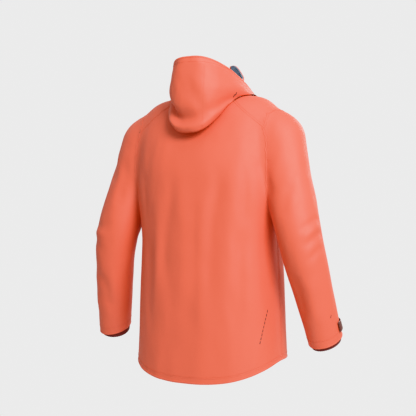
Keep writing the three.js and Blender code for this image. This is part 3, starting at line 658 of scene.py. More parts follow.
def resample(points, step):
    """Points evenly spaced along a smooth curve through the given ones."""
    points = np.array([tuple(p) for p in points], float)
    if len(points) > 2:
        knots = np.arange(len(points))
        dense = np.linspace(0, len(points) - 1, 24 * len(points))
        tangent = np.gradient(points, axis=0)
        i = np.minimum(dense.astype(int), len(points) - 2)
        t = (dense - knots[i])[:, None]
        points = (
            (2 * t**3 - 3 * t**2 + 1) * points[i] + (t**3 - 2 * t**2 + t) * tangent[i]
            + (3 * t**2 - 2 * t**3) * points[i + 1] + (t**3 - t**2) * tangent[i + 1]
        )
    run = np.concatenate([[0], np.cumsum(np.linalg.norm(np.diff(points, axis=0), axis=1))])
    count = max(2, int(round(run[-1] / step)) + 1)
    at = np.linspace(0, run[-1], count)
    return np.stack([np.interp(at, run, points[:, k]) for k in range(3)], axis=1)


def tree_of(obj):
    mesh = obj.data
    return BVHTree.FromPolygons([v.co for v in mesh.vertices], [p.vertices for p in mesh.polygons])


def press_folds(obj, folds, tree):
    """Moves the surface along its normals under each fold, less towards the fold's two ends."""
    co, no = coordinates(obj.data), normals(obj.data)
    shift = np.zeros(len(co))
    for width, depth, points in folds:
        line = resample([tree.find_nearest(Vector(p))[0] for p in points], 0.012)
        best = np.full(len(co), np.inf)
        along = np.zeros(len(co))
        for k, p in enumerate(line):
            d = np.linalg.norm(co - p, axis=1)
            near = d < best
            best[near] = d[near]
            along[near] = k / (len(line) - 1)
        fade = smooth(np.minimum(along, 1 - along) / 0.3)
        shift += depth * fade * np.exp(-((best / width) ** 2))
    set_coordinates(obj.data, co + no * shift[:, None])


def zip_distance(co):
    """How far each point of the front is from a zip, sideways."""
    front = np.where(co[:, 1] < FRONT_BEGINS, np.abs(co[:, 0]), 1.0)
    share = np.clip((co[:, 2] - POCKET_FOOT[1]) / (POCKET_TOP[1] - POCKET_FOOT[1]), -0.1, 1.1)
    middle = mix(POCKET_FOOT[0], POCKET_TOP[0], share)
    beside = np.abs(np.abs(co[:, 0]) - middle)
    above = np.maximum(0, np.maximum(co[:, 2] - POCKET_TOP[1], POCKET_FOOT[1] - co[:, 2]))
    pocket = np.where(co[:, 1] < FRONT_BEGINS, np.hypot(beside, above), 1.0)
    return np.minimum(front, pocket)


def ripple(obj, amount):
    """Slow uneven waves that run mostly down the cloth."""
    co, no = coordinates(obj.data), normals(obj.data)
    shift = [noise.noise(Vector((x * 19, y * 19, z * 5))) + 0.5 * noise.noise(Vector((x * 45, y * 45, z * 14)))
             for x, y, z in co]
    calm = smooth((zip_distance(co) - 0.012) / 0.05) * smooth((0.02 - co[:, 2]) / 0.08)
    set_coordinates(obj.data, co + no * (np.array(shift) * amount * calm)[:, None])


# ---------------------------------------------------------------- pieces cut from the garment

POCKET_TOP = (0.118, -0.468)
POCKET_FOOT = (0.150, -0.632)
ZIP_SLOT = 0.008
YOKE_NECK_X, YOKE_NECK_Z, YOKE_SLOPE = 0.085, 0.002, 0.8
ELBOW_SPLIT = UPPER_LENGTH - 0.062
SHELL_WALL = 0.0018
FRONT_BEGINS = -0.04  # the zips and pockets are in front of this


def on_face(x, z):
    return front_y(z) * (1 - (x / half_width(z)) ** SQUARENESS) ** (1 / SQUARENESS)


def pocket_frame():
    """Origin, across, inward and up of the left pocket's zip, and its length."""
    foot = Vector((POCKET_FOOT[0], on_face(*POCKET_FOOT), POCKET_FOOT[1]))
    top = Vector((POCKET_TOP[0], on_face(*POCKET_TOP), POCKET_TOP[1]))
    up = (top - foot).normalized()
    middle = (foot + top) / 2
    reach = 0.004
    slope = (on_face(middle.x - reach, middle.z) - on_face(middle.x + reach, middle.z)) / (2 * reach)
    inward = Vector((slope, 1, 0)).normalized()
    inward = (inward - up * inward.dot(up)).normalized()
    return foot, inward.cross(up), inward, up, (top - foot).length


def cut(bm, point, normal, chosen):
    faces = [f for f in bm.faces if chosen(f)]
    edges = {e for f in faces for e in f.edges}
    verts = {v for f in faces for v in f.verts}
    bmesh.ops.bisect_plane(bm, geom=[*faces, *edges, *verts], plane_co=point, plane_no=normal, dist=0.0002)


def cut_panels(obj):
    """Cuts the surface along its seams and opens it at the zips."""
    bm = bmesh.new()
    bm.from_mesh(obj.data)

    def body(f):
        return f.material_index == BODY_SLOT

    def front_within(f, reach):
        middle = f.calc_center_median()
        return middle.y < FRONT_BEGINS and abs(middle.x) < reach

    for side in (1, -1):
        wedge = Vector((YOKE_SLOPE * side, 0, 1)).normalized()
        seam_point = Vector((YOKE_NECK_X * side, 0, YOKE_NECK_Z))
        cut(bm, seam_point, wedge, lambda f: body(f) and f.calc_center_median().x * side > 0.05)
        centre, direction = arm_centre(ELBOW_SPLIT)
        cut(bm, flip(centre, side), flip(direction, side),
            lambda f: f.material_index == SLEEVE_SLOT and f.calc_center_median().x * side > 0)
        cut(bm, Vector((ZIP_SLOT * side, 0, 0)), Vector((1, 0, 0)), lambda f: body(f) and front_within(f, 0.03))
        foot, across, inward, up, length = pocket_frame()
        foot, across, up = flip(foot, side), flip(across, side), flip(up, side)

        def near_pocket(f):
            d = f.calc_center_median() - foot
            return body(f) and d.y < 0.05 and abs(d.dot(across)) < 0.026 and -0.02 < d.dot(up) < length + 0.02

        for point, normal in ((foot + across * ZIP_SLOT, across), (foot - across * ZIP_SLOT, across),
                              (foot, up), (foot + up * length, up)):
            cut(bm, point, normal, near_pocket)

        def in_slot(f):
            d = f.calc_center_median() - foot
            return near_pocket(f) and abs(d.dot(across)) < ZIP_SLOT and 0 < d.dot(up) < length

        bmesh.ops.delete(bm, geom=[f for f in bm.faces if in_slot(f)], context="FACES")
    cut(bm, Vector((0, 0, 0)), Vector((0, 1, 0)), body)
    bmesh.ops.delete(bm, geom=[f for f in bm.faces if front_within(f, ZIP_SLOT)], context="FACES")
    bm.to_mesh(obj.data)
    bm.free()


def panel_of(slot, centre):
    side = "left" if centre.x > 0 else "right"
    if slot == SLEEVE_SLOT:
        middle, direction = arm_centre(ELBOW_SPLIT)
        below = (flip(centre, math.copysign(1, centre.x)) - middle).dot(direction) > 0
        return ("lower_sleeve_" if below else "upper_sleeve_") + side
    if centre.z - YOKE_NECK_Z > -YOKE_SLOPE * (abs(centre.x) - YOKE_NECK_X):
        return "shoulder_panel_" + side
    return "back_panel" if centre.y > 0 else "front_panel_" + side


def layered(name, co, no, faces, wall, materials):
    """A closed double layer: the faces outside, the same faces inside and a rim along free edges."""
    count = len(co)
    edges = {edge: True for f in faces for edge in zip(f, (*f[1:], f[0]))}
    rim = [(a, b) for a, b in edges if (b, a) not in edges]
    polygons = [tuple(f) for f in faces]
    polygons += [tuple(v + count for v in reversed(f)) for f in faces]
    polygons += [(b, a, a + count, b + count) for a, b in rim]
    slots = [0] * len(faces) + [1] * len(faces) + [0] * len(rim)
    obj = mesh_object(name, np.vstack([co, co - no * wall]), polygons, slots)
    for m in materials:
        obj.data.materials.append(m)
    set_smooth(obj)
    both = np.vstack([no, -no])
    vectors = [tuple(both[v]) for polygon in polygons[:2 * len(faces)] for v in polygon]
    vectors += [(0.0, 0.0, 0.0)] * (4 * len(rim))
    obj.data.normals_split_custom_set(vectors)
    return obj


def split_panels(obj, wall, materials):
    """Every panel as its own closed piece, shaded as one surface with its neighbours."""
    mesh = obj.data
    co, no = coordinates(mesh), normals(mesh)
    groups = {}
    for p in mesh.polygons:
        groups.setdefault(panel_of(p.material_index, p.center), []).append(tuple(p.vertices))
    pieces = {}
    for name, faces in sorted(groups.items()):
        used = sorted({v for f in faces for v in f})
        index = {v: i for i, v in enumerate(used)}
        local = [tuple(index[v] for v in f) for f in faces]
        pieces[name] = layered(name + "_cloth", co[used], no[used], local, wall, materials)
    return pieces


def armhole_vertices(obj):
    """Vertices of both armhole seams, between body and sleeves; one entry for each end of an edge."""
    slots = {}
    for p in obj.data.polygons:
        for key in p.edge_keys:
            slots.setdefault(key, set()).add(p.material_index)
    return [v for key, found in slots.items() if len(found) == 2 for v in key]


def set_weights(obj):
    """Bakes the object's transform into its mesh."""
    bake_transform(obj)


# ---------------------------------------------------------------- seams

def closed_mesh(name, points, faces, material, smooth_shaded=True):
    obj = mesh_object(name, points, faces)
    obj.data.materials.append(material)
    set_smooth(obj, smooth_shaded)
    recalculate_normals(obj)
    return obj


WELT_SECTION = [(-0.5, -0.4), (-0.5, 0.1), (-0.3, 0.8), (0, 1), (0.3, 0.8), (0.5, 0.1), (0.5, -0.4)]


def framed(points, tree):
    """Place, normal, direction and side of each point of a line laid on a surface."""
    placed = [tree.find_nearest(Vector(p))[:2] for p in points]
    rows = []
    for k, (p, n) in enumerate(placed):
        ahead, behind = placed[min(k + 1, len(placed) - 1)][0], placed[max(k - 1, 0)][0]
        direction = (ahead - behind).normalized()
        rows.append((p, n, direction, n.cross(direction).normalized()))
    return rows


def welt(rows, width, height, points, faces):
    """Adds a low rounded ridge along the line to points and faces."""
    faces += tube_faces(len(rows), len(WELT_SECTION), len(points))
    for p, n, _, across in rows:
        points += [p + across * (a * width) + n * (h * height) for a, h in WELT_SECTION]


STITCH_LENGTH, STITCH_STEP, STITCH_WIDTH, STITCH_HEIGHT = 0.0030, 0.0042, 0.0009, 0.0006
STITCH_SECTION = [(-1, 0), (-0.6, 1), (0.6, 1), (1, 0)]


def stitch_row(rows, offset, points, faces):
    """Adds a row of short raised stitches beside the line."""
    line = np.array([tuple(p + across * offset) for p, _, _, across in rows])
    run = np.concatenate([[0], np.cumsum(np.linalg.norm(np.diff(line, axis=0), axis=1))])
    for k in range(int(run[-1] / STITCH_STEP)):
        start = k * STITCH_STEP
        i = min(int(np.searchsorted(run, start, side="right")) - 1, len(rows) - 2)
        t = (start - run[i]) / max(run[i + 1] - run[i], 1e-9)
        at = Vector(line[i]).lerp(Vector(line[i + 1]), t)
        _, n, direction, across = rows[i]
        faces += tube_faces(4, 4, len(points))
        for end, share in ((0, 0.3), (0.25, 1), (0.75, 1), (1, 0.3)):
            here = at + direction * (end * STITCH_LENGTH)
            half = across * (STITCH_WIDTH / 2)
            lift = n * (STITCH_HEIGHT * share)
            points += [here + half * a + lift * h for a, h in STITCH_SECTION]


def seam(name, lines, tree, body, ridge=(0.004, 0.0005), rows_at=(0.0045,)):
    """A seam as a low welt with stitches beside it, one object of each for all its lines."""
    welts, stitches = ([], []), ([], [])
    for line in lines:
        rows = framed(resample(line, 0.006), tree)
        if ridge:
            welt(rows, *ridge, *welts)
        for offset in rows_at:
            stitch_row(rows, offset, *stitches)
    for kind, (points, faces), material in (("welt", welts, "shell_seam"), ("stitches", stitches, "thread")):
        if faces:
            made = closed_mesh(f"{name}_{kind}", points, faces, MATERIALS[material])
            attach(made, body)


# ---------------------------------------------------------------- hood

HOOD_HINGE = (-0.045, 0.015)
HOOD_HALF, HOOD_BACK_Y, HOOD_FOOT_Z = 0.104, 0.152, -0.102
HOOD_BRIM_FRONT, HOOD_BRIM_BACK = 0.042, 0.117
HOOD_LIMIT = 88
HOOD_UNDER_LIMIT = 64
HOOD_COLS = 120
HOOD_CLOTH = 0.0022
BRIM_CLOTH = 0.0040
BRIM_ROWS = 4
HOOD_CLEAR = 0.0028  # room between the hood and the shoulders
# Sections of the hood: how far out in metres, and height as a share from foot to brim.
HOOD_WALL = [(-0.007, 0), (0.002, 0.08), (0.007, 0.3), (0.008, 0.55), (0.005, 0.8), (0.002, 0.937), (0, 1)]
HOOD_UNDER = [(-0.061, 0.365), (-0.041, 0.2), (-0.021, 0.06), (-0.007, 0)]


def hood_point(turn, out, height):
    a = math.radians(turn)
    share = math.cos(a) ** 0.9
    wall = Vector((HOOD_HALF * signed_power(math.sin(a), 0.7), mix(HOOD_HINGE[0], HOOD_BACK_Y, share), 0))
    radial = Vector((wall.x, wall.y - 0.030, 0)).normalized()
    foot = mix(NECK_SIDE_Z, HOOD_FOOT_Z, share * share)
    brim = mix(HOOD_BRIM_FRONT, HOOD_BRIM_BACK, share)
    p = wall + radial * out
    p.z = mix(foot, brim, height)
    return p


def hood_shape(turn, out, height):
    """A point of the slumped pouch: rolled lower rim with a valley above it, a dent and soft folds."""
    left = float(smooth((turn + 34) / 60)) * float(smooth((86 - turn) / 30))
    right = float(smooth((20 - turn) / 60))
    out += 0.0080 * bump(height, 0.07, 0.07) * (0.35 + 0.65 * left)
    out -= 0.0190 * bump(height, 0.19 + 0.27 * float(smooth((turn - 5) / 55)), 0.10) * left
    out -= 0.0035 * bump(height, 0.22, 0.10) * (1 - left)
    out += 0.0050 * bump(height, 0.52, 0.22) * right
    out -= 0.0130 * float(smooth((turn - 10) / 40)) * height
    out += 0.0120 * float(smooth((abs(turn) - 50) / 30))
    out -= 0.0050 * bump(turn, 44, 13) * bump(height, 0.78, 0.11)
    out -= 0.0035 * bump(turn, 62, 9) * bump(height, 0.60, 0.20)
    out += 0.0030 * bump(turn, 30, 10) * bump(height, 0.66, 0.22)
    out -= 0.0030 * bump(turn, -6 + 40 * (height - 0.5), 8) * bump(height, 0.45, 0.3)
    p = hood_point(turn, out, height)
    end = float(smooth((abs(turn) - 52) / 34))
    p.z -= end * mix(0.038, 0.016, height) + (0.008 + 0.006 * float(smooth((turn + 10) / 50))) * height
    wave = noise.noise(Vector((p.x * 24, p.y * 24, p.z * 18 + 3)))
    fine = noise.noise(Vector((p.x * 60, p.y * 60, p.z * 50 + 7)))
    radial = Vector((p.x, p.y - 0.03, 0)).normalized()
    return p + radial * (0.0016 * wave + 0.0006 * fine)


def hood_sections():
    """Rows from the neck seam out under the pouch, round its foot and up to the brim."""
    under = resample([(o, h, 0) for o, h in HOOD_UNDER], 0.012)
    wall = np.array([(np.interp(h, [q[1] for q in HOOD_WALL], [q[0] for q in HOOD_WALL]), h)
                     for h in np.linspace(0, 1, 44)])
    soft = wall[:, 0].copy()
    for _ in range(6):
        soft[1:-1] = (soft[:-2] + soft[2:]) / 4 + soft[1:-1] / 2
    wall[:, 0] = soft
    return [tuple(u[:2]) for u in under[:-1]], [tuple(w) for w in wall]


def hood_cloth(garment_tree):
    """The hood as one sheet with its inner layer; the share that follows the hood grows from the neck seam."""
    turns = np.linspace(-HOOD_LIMIT, HOOD_LIMIT, HOOD_COLS + 1)
    under, wall = hood_sections()
    rows, share = [], []
    roots = [shoulder_point(math.radians(90 - t * 110 / HOOD_LIMIT), 0.05) + Vector((0, 0, 0.002))
             for t in turns]
    foot = [hood_shape(t, *wall[0]) for t in turns]
    steps = len(under) + 5
    for k in range(steps):
        f = k / steps
        row = []
        for c, t in enumerate(turns):
            straight = roots[c].lerp(foot[c], f)
            at = min(max((f * steps - 5) / len(under) * len(under), 0), len(under) - 1)
            i = min(int(at), len(under) - 2)
            o = mix(under[i][0], under[i + 1][0], at - i)
            h = mix(under[i][1], under[i + 1][1], at - i)
            bowl = roots[c].lerp(hood_point(t, o, h), min(1, f * steps / 5))
            middle = float(smooth((HOOD_LIMIT - abs(t)) / (HOOD_LIMIT - HOOD_UNDER_LIMIT)))
            row.append(straight.lerp(bowl, middle))
        rows.append(row)
        share.append(float(smooth(f * 1.15)))
    for section in wall:
        rows.append([hood_shape(t, *section) for t in turns])
        share.append(1.0)
    points = [p for row in rows for p in row]
    for rounds in (4, 0):
        for i, p in enumerate(points):
            q, n, _, _ = garment_tree.find_nearest(p)
            gap = (p - q).dot(n)
            if -0.05 < gap < HOOD_CLEAR:
                points[i] = p + n * (HOOD_CLEAR - gap)
        ends = np.array([float(smooth((abs(t) - 46) / 14)) for t in turns])[None, 1:-1, None]
        net = np.array(points).reshape(len(rows), len(turns), 3)
        for _ in range(rounds):
            middle = (net[:-2, 1:-1] + net[2:, 1:-1] + net[1:-1, :-2] + net[1:-1, 2:]) / 4
            net[1:-1, 1:-1] += (middle - net[1:-1, 1:-1]) * ends
        points = [Vector(p) for p in net.reshape(-1, 3)]
    faces = grid_faces(len(rows), len(turns), False)
    rough, faces = facing_back("hood_grid", points, faces, (len(rows) - 20) * HOOD_COLS + HOOD_COLS // 2)
    co, no = coordinates(rough.data), normals(rough.data)
    tree = tree_of(rough)
    row_of = np.arange(len(co)) // len(turns)
    wall_of_row = np.where(np.arange(len(rows)) >= len(rows) - BRIM_ROWS, BRIM_CLOTH, HOOD_CLOTH)
    hood = layered("hood_cloth", co, no * (wall_of_row[row_of] / HOOD_CLOTH)[:, None], faces, HOOD_CLOTH,
                   (MATERIALS["shell"], MATERIALS["shell_seam"]))
    bpy.data.objects.remove(rough)
    return hood, np.array(share)[row_of], tree


def add_hood(garment_tree):
    hood, weights, tree = hood_cloth(garment_tree)
    set_weights(hood)
    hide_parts("hood_centre_panel", "hood_side_left", "hood_side_right", "hood_brim", "hood_base_band")
    brim = [hood_point(t, 0, 0.90) for t in np.linspace(-84, 84, 60)]
    edge = [hood_point(t, 0, 0.985) for t in np.linspace(-86, 86, 60)]
    seam("hood_brim_seam", [brim], tree, "hood", ridge=None, rows_at=(0.0,))
    seam("hood_brim_edge", [edge], tree, "hood", ridge=(0.0045, 0.0007), rows_at=())
    sides = []
    for side in (1, -1):
        sides.append([hood_shape(side * (17 + 3 * h), 0.004, h) for h in np.linspace(0.02, 0.9, 30)])
    seam("hood_panel_seams", sides, tree, "hood", ridge=(0.0028, 0.00015), rows_at=())
    return tree


# ---------------------------------------------------------------- collar

COLLAR_TOP_HALF = 0.078
COLLAR_BACK = (0.068, 0.084)
FLEECE_WALL = 0.0026


def collar_point(angle, t):
    s = math.sin(angle)
    top = Vector((COLLAR_TOP_HALF * math.cos(angle), mix(FRONT_TOP[0], COLLAR_BACK[0], (1 + s) / 2),
                  mix(FRONT_TOP[1], COLLAR_BACK[1], (1 + s) / 2)))
    return neck_point(angle).lerp(top, t)


def collar_sheet(name, inwards, wall, opening, rows, cols, rough, materials, top=1.0):
    """A standing band inside the neck line, open at the front; inwards is its outer face's distance in."""
    half = math.acos(0) - math.asin(min(1, opening / NECK_HALF))
    angles = [mix(-half, math.pi + half, c / cols) for c in range(cols + 1)]
    grid = []
    for r in range(rows + 1):
        ring = []
        for a in angles:
            degrees = math.degrees(a)
            slump = 0.42 * bump(degrees, 170, 48)
            lift = 0.14 * bump(degrees, 252, 26)
            t = mix(0.03, top * (1 - slump + lift), r / rows)
            p = collar_point(a, t)
            out = Vector((p.x, p.y + 0.02, 0)).normalized()
            roll = 0.0025 * smooth((r / rows - 0.8) / 0.2)
            wave = noise.noise(Vector((p.x * 30, p.y * 30, p.z * 22))) * 0.0010
            fluff = noise.noise(p * 420) * rough
            ring.append(p + out * (float(roll) + wave + fluff - inwards))
        grid.append(ring)
    points = [p for ring in grid for p in ring]
    faces = [tuple(reversed(f)) for f in grid_faces(rows + 1, cols + 1, False)]
    flat, faces = facing_back("collar_grid", points, faces, len(faces) // 2 + cols // 2)
    made = layered(name, coordinates(flat.data), normals(flat.data), faces, wall, materials)
    tree = tree_of(flat)
    bpy.data.objects.remove(flat)
    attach(made, "shell")
    return made, tree


def add_collar():
    shell, tree = collar_sheet("collar_shell_cloth", 0.0, 0.0018, ZIP_SLOT, 26, 160, 0.0,
                               (MATERIALS["shell"],) * 2)
    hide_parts("collar_shell")
    fleece, _ = collar_sheet("collar_fleece", 0.0022, FLEECE_WALL, 0.016, 44, 260, 0.0006,
                             (MATERIALS["lining"],) * 2, top=0.995)
    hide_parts("collar_lining")
    angles = [math.radians(a) for a in np.linspace(-82, 262, 120)]
    top = [collar_point(a, 0.93 - 0.40 * bump(math.degrees(a), 170, 48)) for a in angles]
    seam("collar_top_seam", [top], tree, "shell", ridge=None, rows_at=(0.0,))
    seam("collar_neck_seam", [[collar_point(a, 0.07) for a in angles]], tree, "shell", ridge=(0.004, 0.0006))


# ---------------------------------------------------------------- cuffs

OUTWARD = (UPPER_DIR.cross(Vector((0, 1, 0)))).normalized()
KNIT_SECTION = [(0.055, 0.0050), (0.030, 0.0048), (0.010, 0.0046), (-0.002, 0.0046), (-0.0085, 0.0050),
                (-0.0100, 0.0060), (-0.0085, 0.0072), (-0.002, 0.0074), (0.030, 0.0074), (0.055, 0.0072)]
FACING_SECTION = [(0.030, 0.0024), (0.012, 0.0024), (0.0015, 0.0024), (0.0015, 0.0040), (0.012, 0.0040),
                  (0.030, 0.0040)]
KNIT_COLS, FACING_COLS = 180, 96
RIB = 0.0005  # height of the knit's ribs and of the tab's grip


def cuff_ring(back, inset, count, slope):
    """A ring round the forearm: back is its distance before the cuff's edge, inset from the sleeve's face."""
    centre = WRIST - FORE_DIR * back
    across = FORE_DIR.cross(ELBOW_AXIS).normalized()
    radius = sleeve_radius(ARM_LENGTH - back) - inset
    ring = []
    for c in range(count):
        a = 2 * math.pi * c / count
        arm = (ELBOW_AXIS * math.cos(a) + across * math.sin(a)) * radius
        ring.append(centre + arm - FORE_DIR * (arm.dot(slope) / FORE_DIR.dot(slope)))
    return ring


def tube_object(name, rings, material, side):
    """A closed sleeve of cloth through rings that run down its outside and back up its inside."""
    points = [flip(p, side) for ring in rings for p in ring]
    faces = [tuple(v % len(points) for v in f) for f in grid_faces(len(rings) + 1, len(rings[0]), True)]
    return closed_mesh(name, points, faces, material)


def add_storm_cuff(side, word):
    """Ribbed inner cuff that stands out of the sleeve, and the turned hem of the sleeve."""
    rings = []
    for back, inset in KNIT_SECTION:
        ring = cuff_ring(back, inset, KNIT_COLS, cuff_slope(-1))
        centre = sum(ring, Vector()) / KNIT_COLS
        rings.append([p + (p - centre).normalized() * (RIB * math.cos(2 * math.pi * c / 4))
                      for c, p in enumerate(ring)])
    cuff = tube_object(f"storm_cuff_{word}_knit", rings, MATERIALS["cuff"], side)
    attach(cuff, f"{word}_forearm")
    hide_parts(f"storm_cuff_{word}")
    rings = [cuff_ring(back, inset, FACING_COLS, cuff_slope(side)) for back, inset in FACING_SECTION]
    hem = tube_object(f"cuff_facing_{word}_cloth", rings, MATERIALS["shell_seam"], side)
    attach(hem, f"{word}_forearm")
    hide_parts(f"cuff_facing_{word}")


STRIP_COLS, STRIP_ROWS = 64, 12
TAB_BACK = 0.034  # middle of the tab before the cuff's edge
STRIP_LIFT = 0.0004


def wrapped(name, start, end, width, near, far, ribs, material, side, point):
    """A strip round the outside of the cuff with rounded ends; point is how far its free end narrows."""
    axis = (OUTWARD - FORE_DIR * OUTWARD.dot(FORE_DIR)).normalized()
    radius = sleeve_radius(ARM_LENGTH - TAB_BACK) + STRIP_LIFT
    under, over = [], []
    for c in range(STRIP_COLS + 1):
        share = c / STRIP_COLS
        arm = Matrix.Rotation(math.radians(mix(start, end, share)), 3, FORE_DIR) @ axis
        taper = min(1, (share / point) ** 0.5 if point else 1, ((1 - share) / 0.10) ** 0.5)
        for r in range(STRIP_ROWS + 1):
            across = (r / STRIP_ROWS - 0.5) * width * max(taper, 0.35)
            edge = min(1, (1 - abs(2 * r / STRIP_ROWS - 1)) * 5, share * 30, (1 - share) * 30)
            gripped = 0.12 < r / STRIP_ROWS < 0.88 and share > 0.6
            rib = RIB * ribs * max(0, math.sin(c * 0.9)) * gripped
            centre = WRIST - FORE_DIR * (TAB_BACK - across)
            under.append(centre + arm * (radius + near))
            over.append(centre + arm * (radius + mix(near + STRIP_LIFT, far, float(smooth(edge))) + rib))
    cols = STRIP_ROWS + 1
    size = len(under)
    rim = [*range(cols), *range(2 * cols - 1, size, cols), *reversed(range(size - cols, size - 1)),
           *reversed(range(cols, size - cols, cols))]
    faces = grid_faces(STRIP_COLS + 1, cols, False) + grid_faces(STRIP_COLS + 1, cols, False, size)
    faces += [(a, b, b + size, a + size) for a, b in zip(rim, rim[1:] + rim[:1])]
    return closed_mesh(name, [flip(p, side) for p in under + over], faces, material)


def add_cuff_tab(side, word):
    patch = wrapped(f"cuff_patch_{word}_loops", 8, 108, 0.024, 0.001, 0.002, 0, MATERIALS["dark"], side, 0.08)
    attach(patch, f"{word}_forearm")
    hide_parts(f"cuff_patch_{word}")
    tab = wrapped(f"cuff_tab_{word}_grip", -12, 92, 0.028, 0.0026, 0.0044, 1, MATERIALS["tab"], side, 0.0)
    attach(tab, f"{word}_cuff_tab")
    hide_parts(f"cuff_tab_{word}")


# ---------------------------------------------------------------- zips, hem and small parts

RAIL_INNER, RAIL_OUTER, RAIL_TOP = 0.0011, 0.0036, 0.0010
TAPE_HALF, POCKET_TAPE_HALF = 0.014, 0.0074
TAPE_STEP, TOOTH_STEP = 0.006, 0.0030
TAPE_END, TEETH_END, ZIP_SPARE = 0.002, 0.004, 0.004


def zip_half(name, place, side, length, half, node):
    """One tape with its row of moulded teeth, in a frame whose y is inward and z runs up the zip."""
    origin, across, inward, up = place

    def at(x, y, z):
        return origin + across * (x * side) + inward * y + up * z

    steps = int(length / TAPE_STEP)
    section = [(RAIL_INNER + 0.0006, 0.0046), (RAIL_OUTER, 0.0042), (half - 0.001, 0.0046), (half, 0.0050),
               (half, 0.0056), (RAIL_INNER + 0.0006, 0.0056)]
    heights = [TAPE_END + (length - 2 * TAPE_END) * k / steps for k in range(steps + 1)]
    points = [at(x, y, z) for z in heights for x, y in section]
    tape = closed_mesh(name + "_tape", points, tube_faces(steps + 1, len(section), 0), MATERIALS["dark"], False)
    points, faces = [], []
    shift = 0 if side > 0 else TOOTH_STEP / 2
    for k in range(int((length - 2 * TEETH_END) / TOOTH_STEP)):
        z = TEETH_END + shift + k * TOOTH_STEP
        faces += tube_faces(4, 4, len(points))
        for x, reach, top in ((-0.0006, 0.0004, RAIL_TOP + 0.0003), (0.0004, 0.0007, RAIL_TOP),
                              (RAIL_OUTER - 0.0004, 0.0006, RAIL_TOP), (RAIL_OUTER, 0.0004, RAIL_TOP + 0.0003)):
            points += [at(x, y, z + reach * end) for y, end in ((top, -1), (top, 1), (0.0052, 1), (0.0052, -1))]
    teeth = closed_mesh(name + "_teeth", points, faces, MATERIALS["plastic"], False)
    for obj in (tape, teeth):
        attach(obj, "shell")
    if node:
        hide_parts(node)


def add_zips():
    foot, top = Vector((0, *FRONT_FOOT)), Vector((0, *FRONT_TOP))
    up = (top - foot).normalized()
    front = (foot, Vector((1, 0, 0)), Vector((0, up.z, -up.y)), up)
    front_length = (top - foot).length - ZIP_SPARE
    *pocket, pocket_length = pocket_frame()
    pocket_length -= ZIP_SPARE
    for side, word in ((1, "left"), (-1, "right")):
        zip_half(f"front_zip_{word}", front, side, front_length, TAPE_HALF, f"zip_tape_{word}")
        place = [flip(v, side) for v in pocket]
        for half, name, node in ((1, "a", f"pocket_zip_{word}"), (-1, "b", None)):
            zip_half(f"pocket_zip_{word}_{name}", place, half, pocket_length, POCKET_TAPE_HALF, node)


def softened(node, material, voxel=0.0016, smoothing=6, wave=0.0005):
    """A soft piece grown from the space of its CAD solid: rounded, slightly uneven, closed."""
    source = frame["nodes"][node]
    obj = bpy.data.objects.new(node + "_cloth", source.data.copy())
    bpy.context.scene.collection.objects.link(obj)
    obj.data.materials.clear()
    remesh = obj.modifiers.new("remesh", "REMESH")
    remesh.mode = "VOXEL"
    remesh.voxel_size = voxel
    calm = obj.modifiers.new("calm", "SMOOTH")
    calm.factor = 0.4
    calm.iterations = smoothing
    apply_modifiers(obj)
    co, no = coordinates(obj.data), normals(obj.data)
    shift = np.array([noise.noise(Vector(p) * 40) for p in co]) * wave
    set_coordinates(obj.data, co + no * shift[:, None])
    obj.data.materials.append(material)
    set_smooth(obj)
    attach(obj, source["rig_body"])
    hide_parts(node)


# ---------------------------------------------------------------- marks

SLANT = (Vector((0, 0, 1)) + VIEW_RIGHT * 0.25).normalized()  # direction of the printed bars
PRINT_UNDER, PRINT_OVER = -0.0002, 0.00035


def bars(name, places, tree, half_across, half_along, body):
    """Small flat printed bars on the cloth, each at a place to the right of the view's middle and a height."""
    points, faces = [], []
    for right, height in places:
        start = VIEW_RIGHT * right + Vector((0, 0, height)) + VIEW_BACK
        hit, normal, _, _ = tree.ray_cast(start, -VIEW_BACK)
        along = (SLANT - normal * SLANT.dot(normal)).normalized()
        across = normal.cross(along)
        faces += tube_faces(2, 4, len(points))
        for lift in (PRINT_UNDER, PRINT_OVER):
            for a, b in ((-1, -1), (1, -1), (1, 1), (-1, 1)):
                points.append(hit + across * (a * half_across) + along * (b * half_along) + normal * lift)
    made = closed_mesh(name, points, faces, MATERIALS["mark"], False)
    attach(made, body)


# ---------------------------------------------------------------- build

def build_surface():
    """The whole outer garment as one folded surface."""
    garment = garment_mesh()
    relax_armholes(garment)
    tree = tree_of(garment)
    folds = []
    for depth_sign, group in ((1, BACK_FOLDS), (-1, FRONT_FOLDS)):
        for width, depth, places in group:
            folds.append((width, depth, [Vector((x, depth_sign * 0.16, z)) for x, z in places]))
    for (side, start), group in ARM_FOLDS.items():
        for width, depth, places in group:
            folds.append((width, depth, [arm_point(side, start + s, a) for s, a in places]))
    press_folds(garment, folds, tree)
    ripple(garment, 0.0022)
    subdivide = garment.modifiers.new("smooth", "SUBSURF")
    subdivide.levels = subdivide.render_levels = 1
    apply_modifiers(garment)
    return garment


ARMHOLE_SOFT = 0.035  # reach of the smoothing along the armholes
SHOULDER_FOOT_Z = -0.20  # the shoulders are smoothed into the sleeves above this
SHOULDER_X = (0.105, 0.30)  # and between these distances from the middle
CHEST_REACH = 0.09


def relax(obj, rounds, share_of):
    """Laplacian smoothing with a share for each vertex."""
    bm = bmesh.new()
    bm.from_mesh(obj.data)
    bm.verts.ensure_lookup_table()
    near = [(v, w) for v in bm.verts for w in (share_of(v),) if w > 0 and not v.is_boundary]
    for _ in range(rounds):
        moves = [(v, sum((e.other_vert(v).co for e in v.link_edges), Vector()) / len(v.link_edges), w)
                 for v, w in near]
        for v, middle, w in moves:
            v.co = v.co.lerp(middle, 0.5 * w)
    bm.to_mesh(obj.data)
    bm.free()


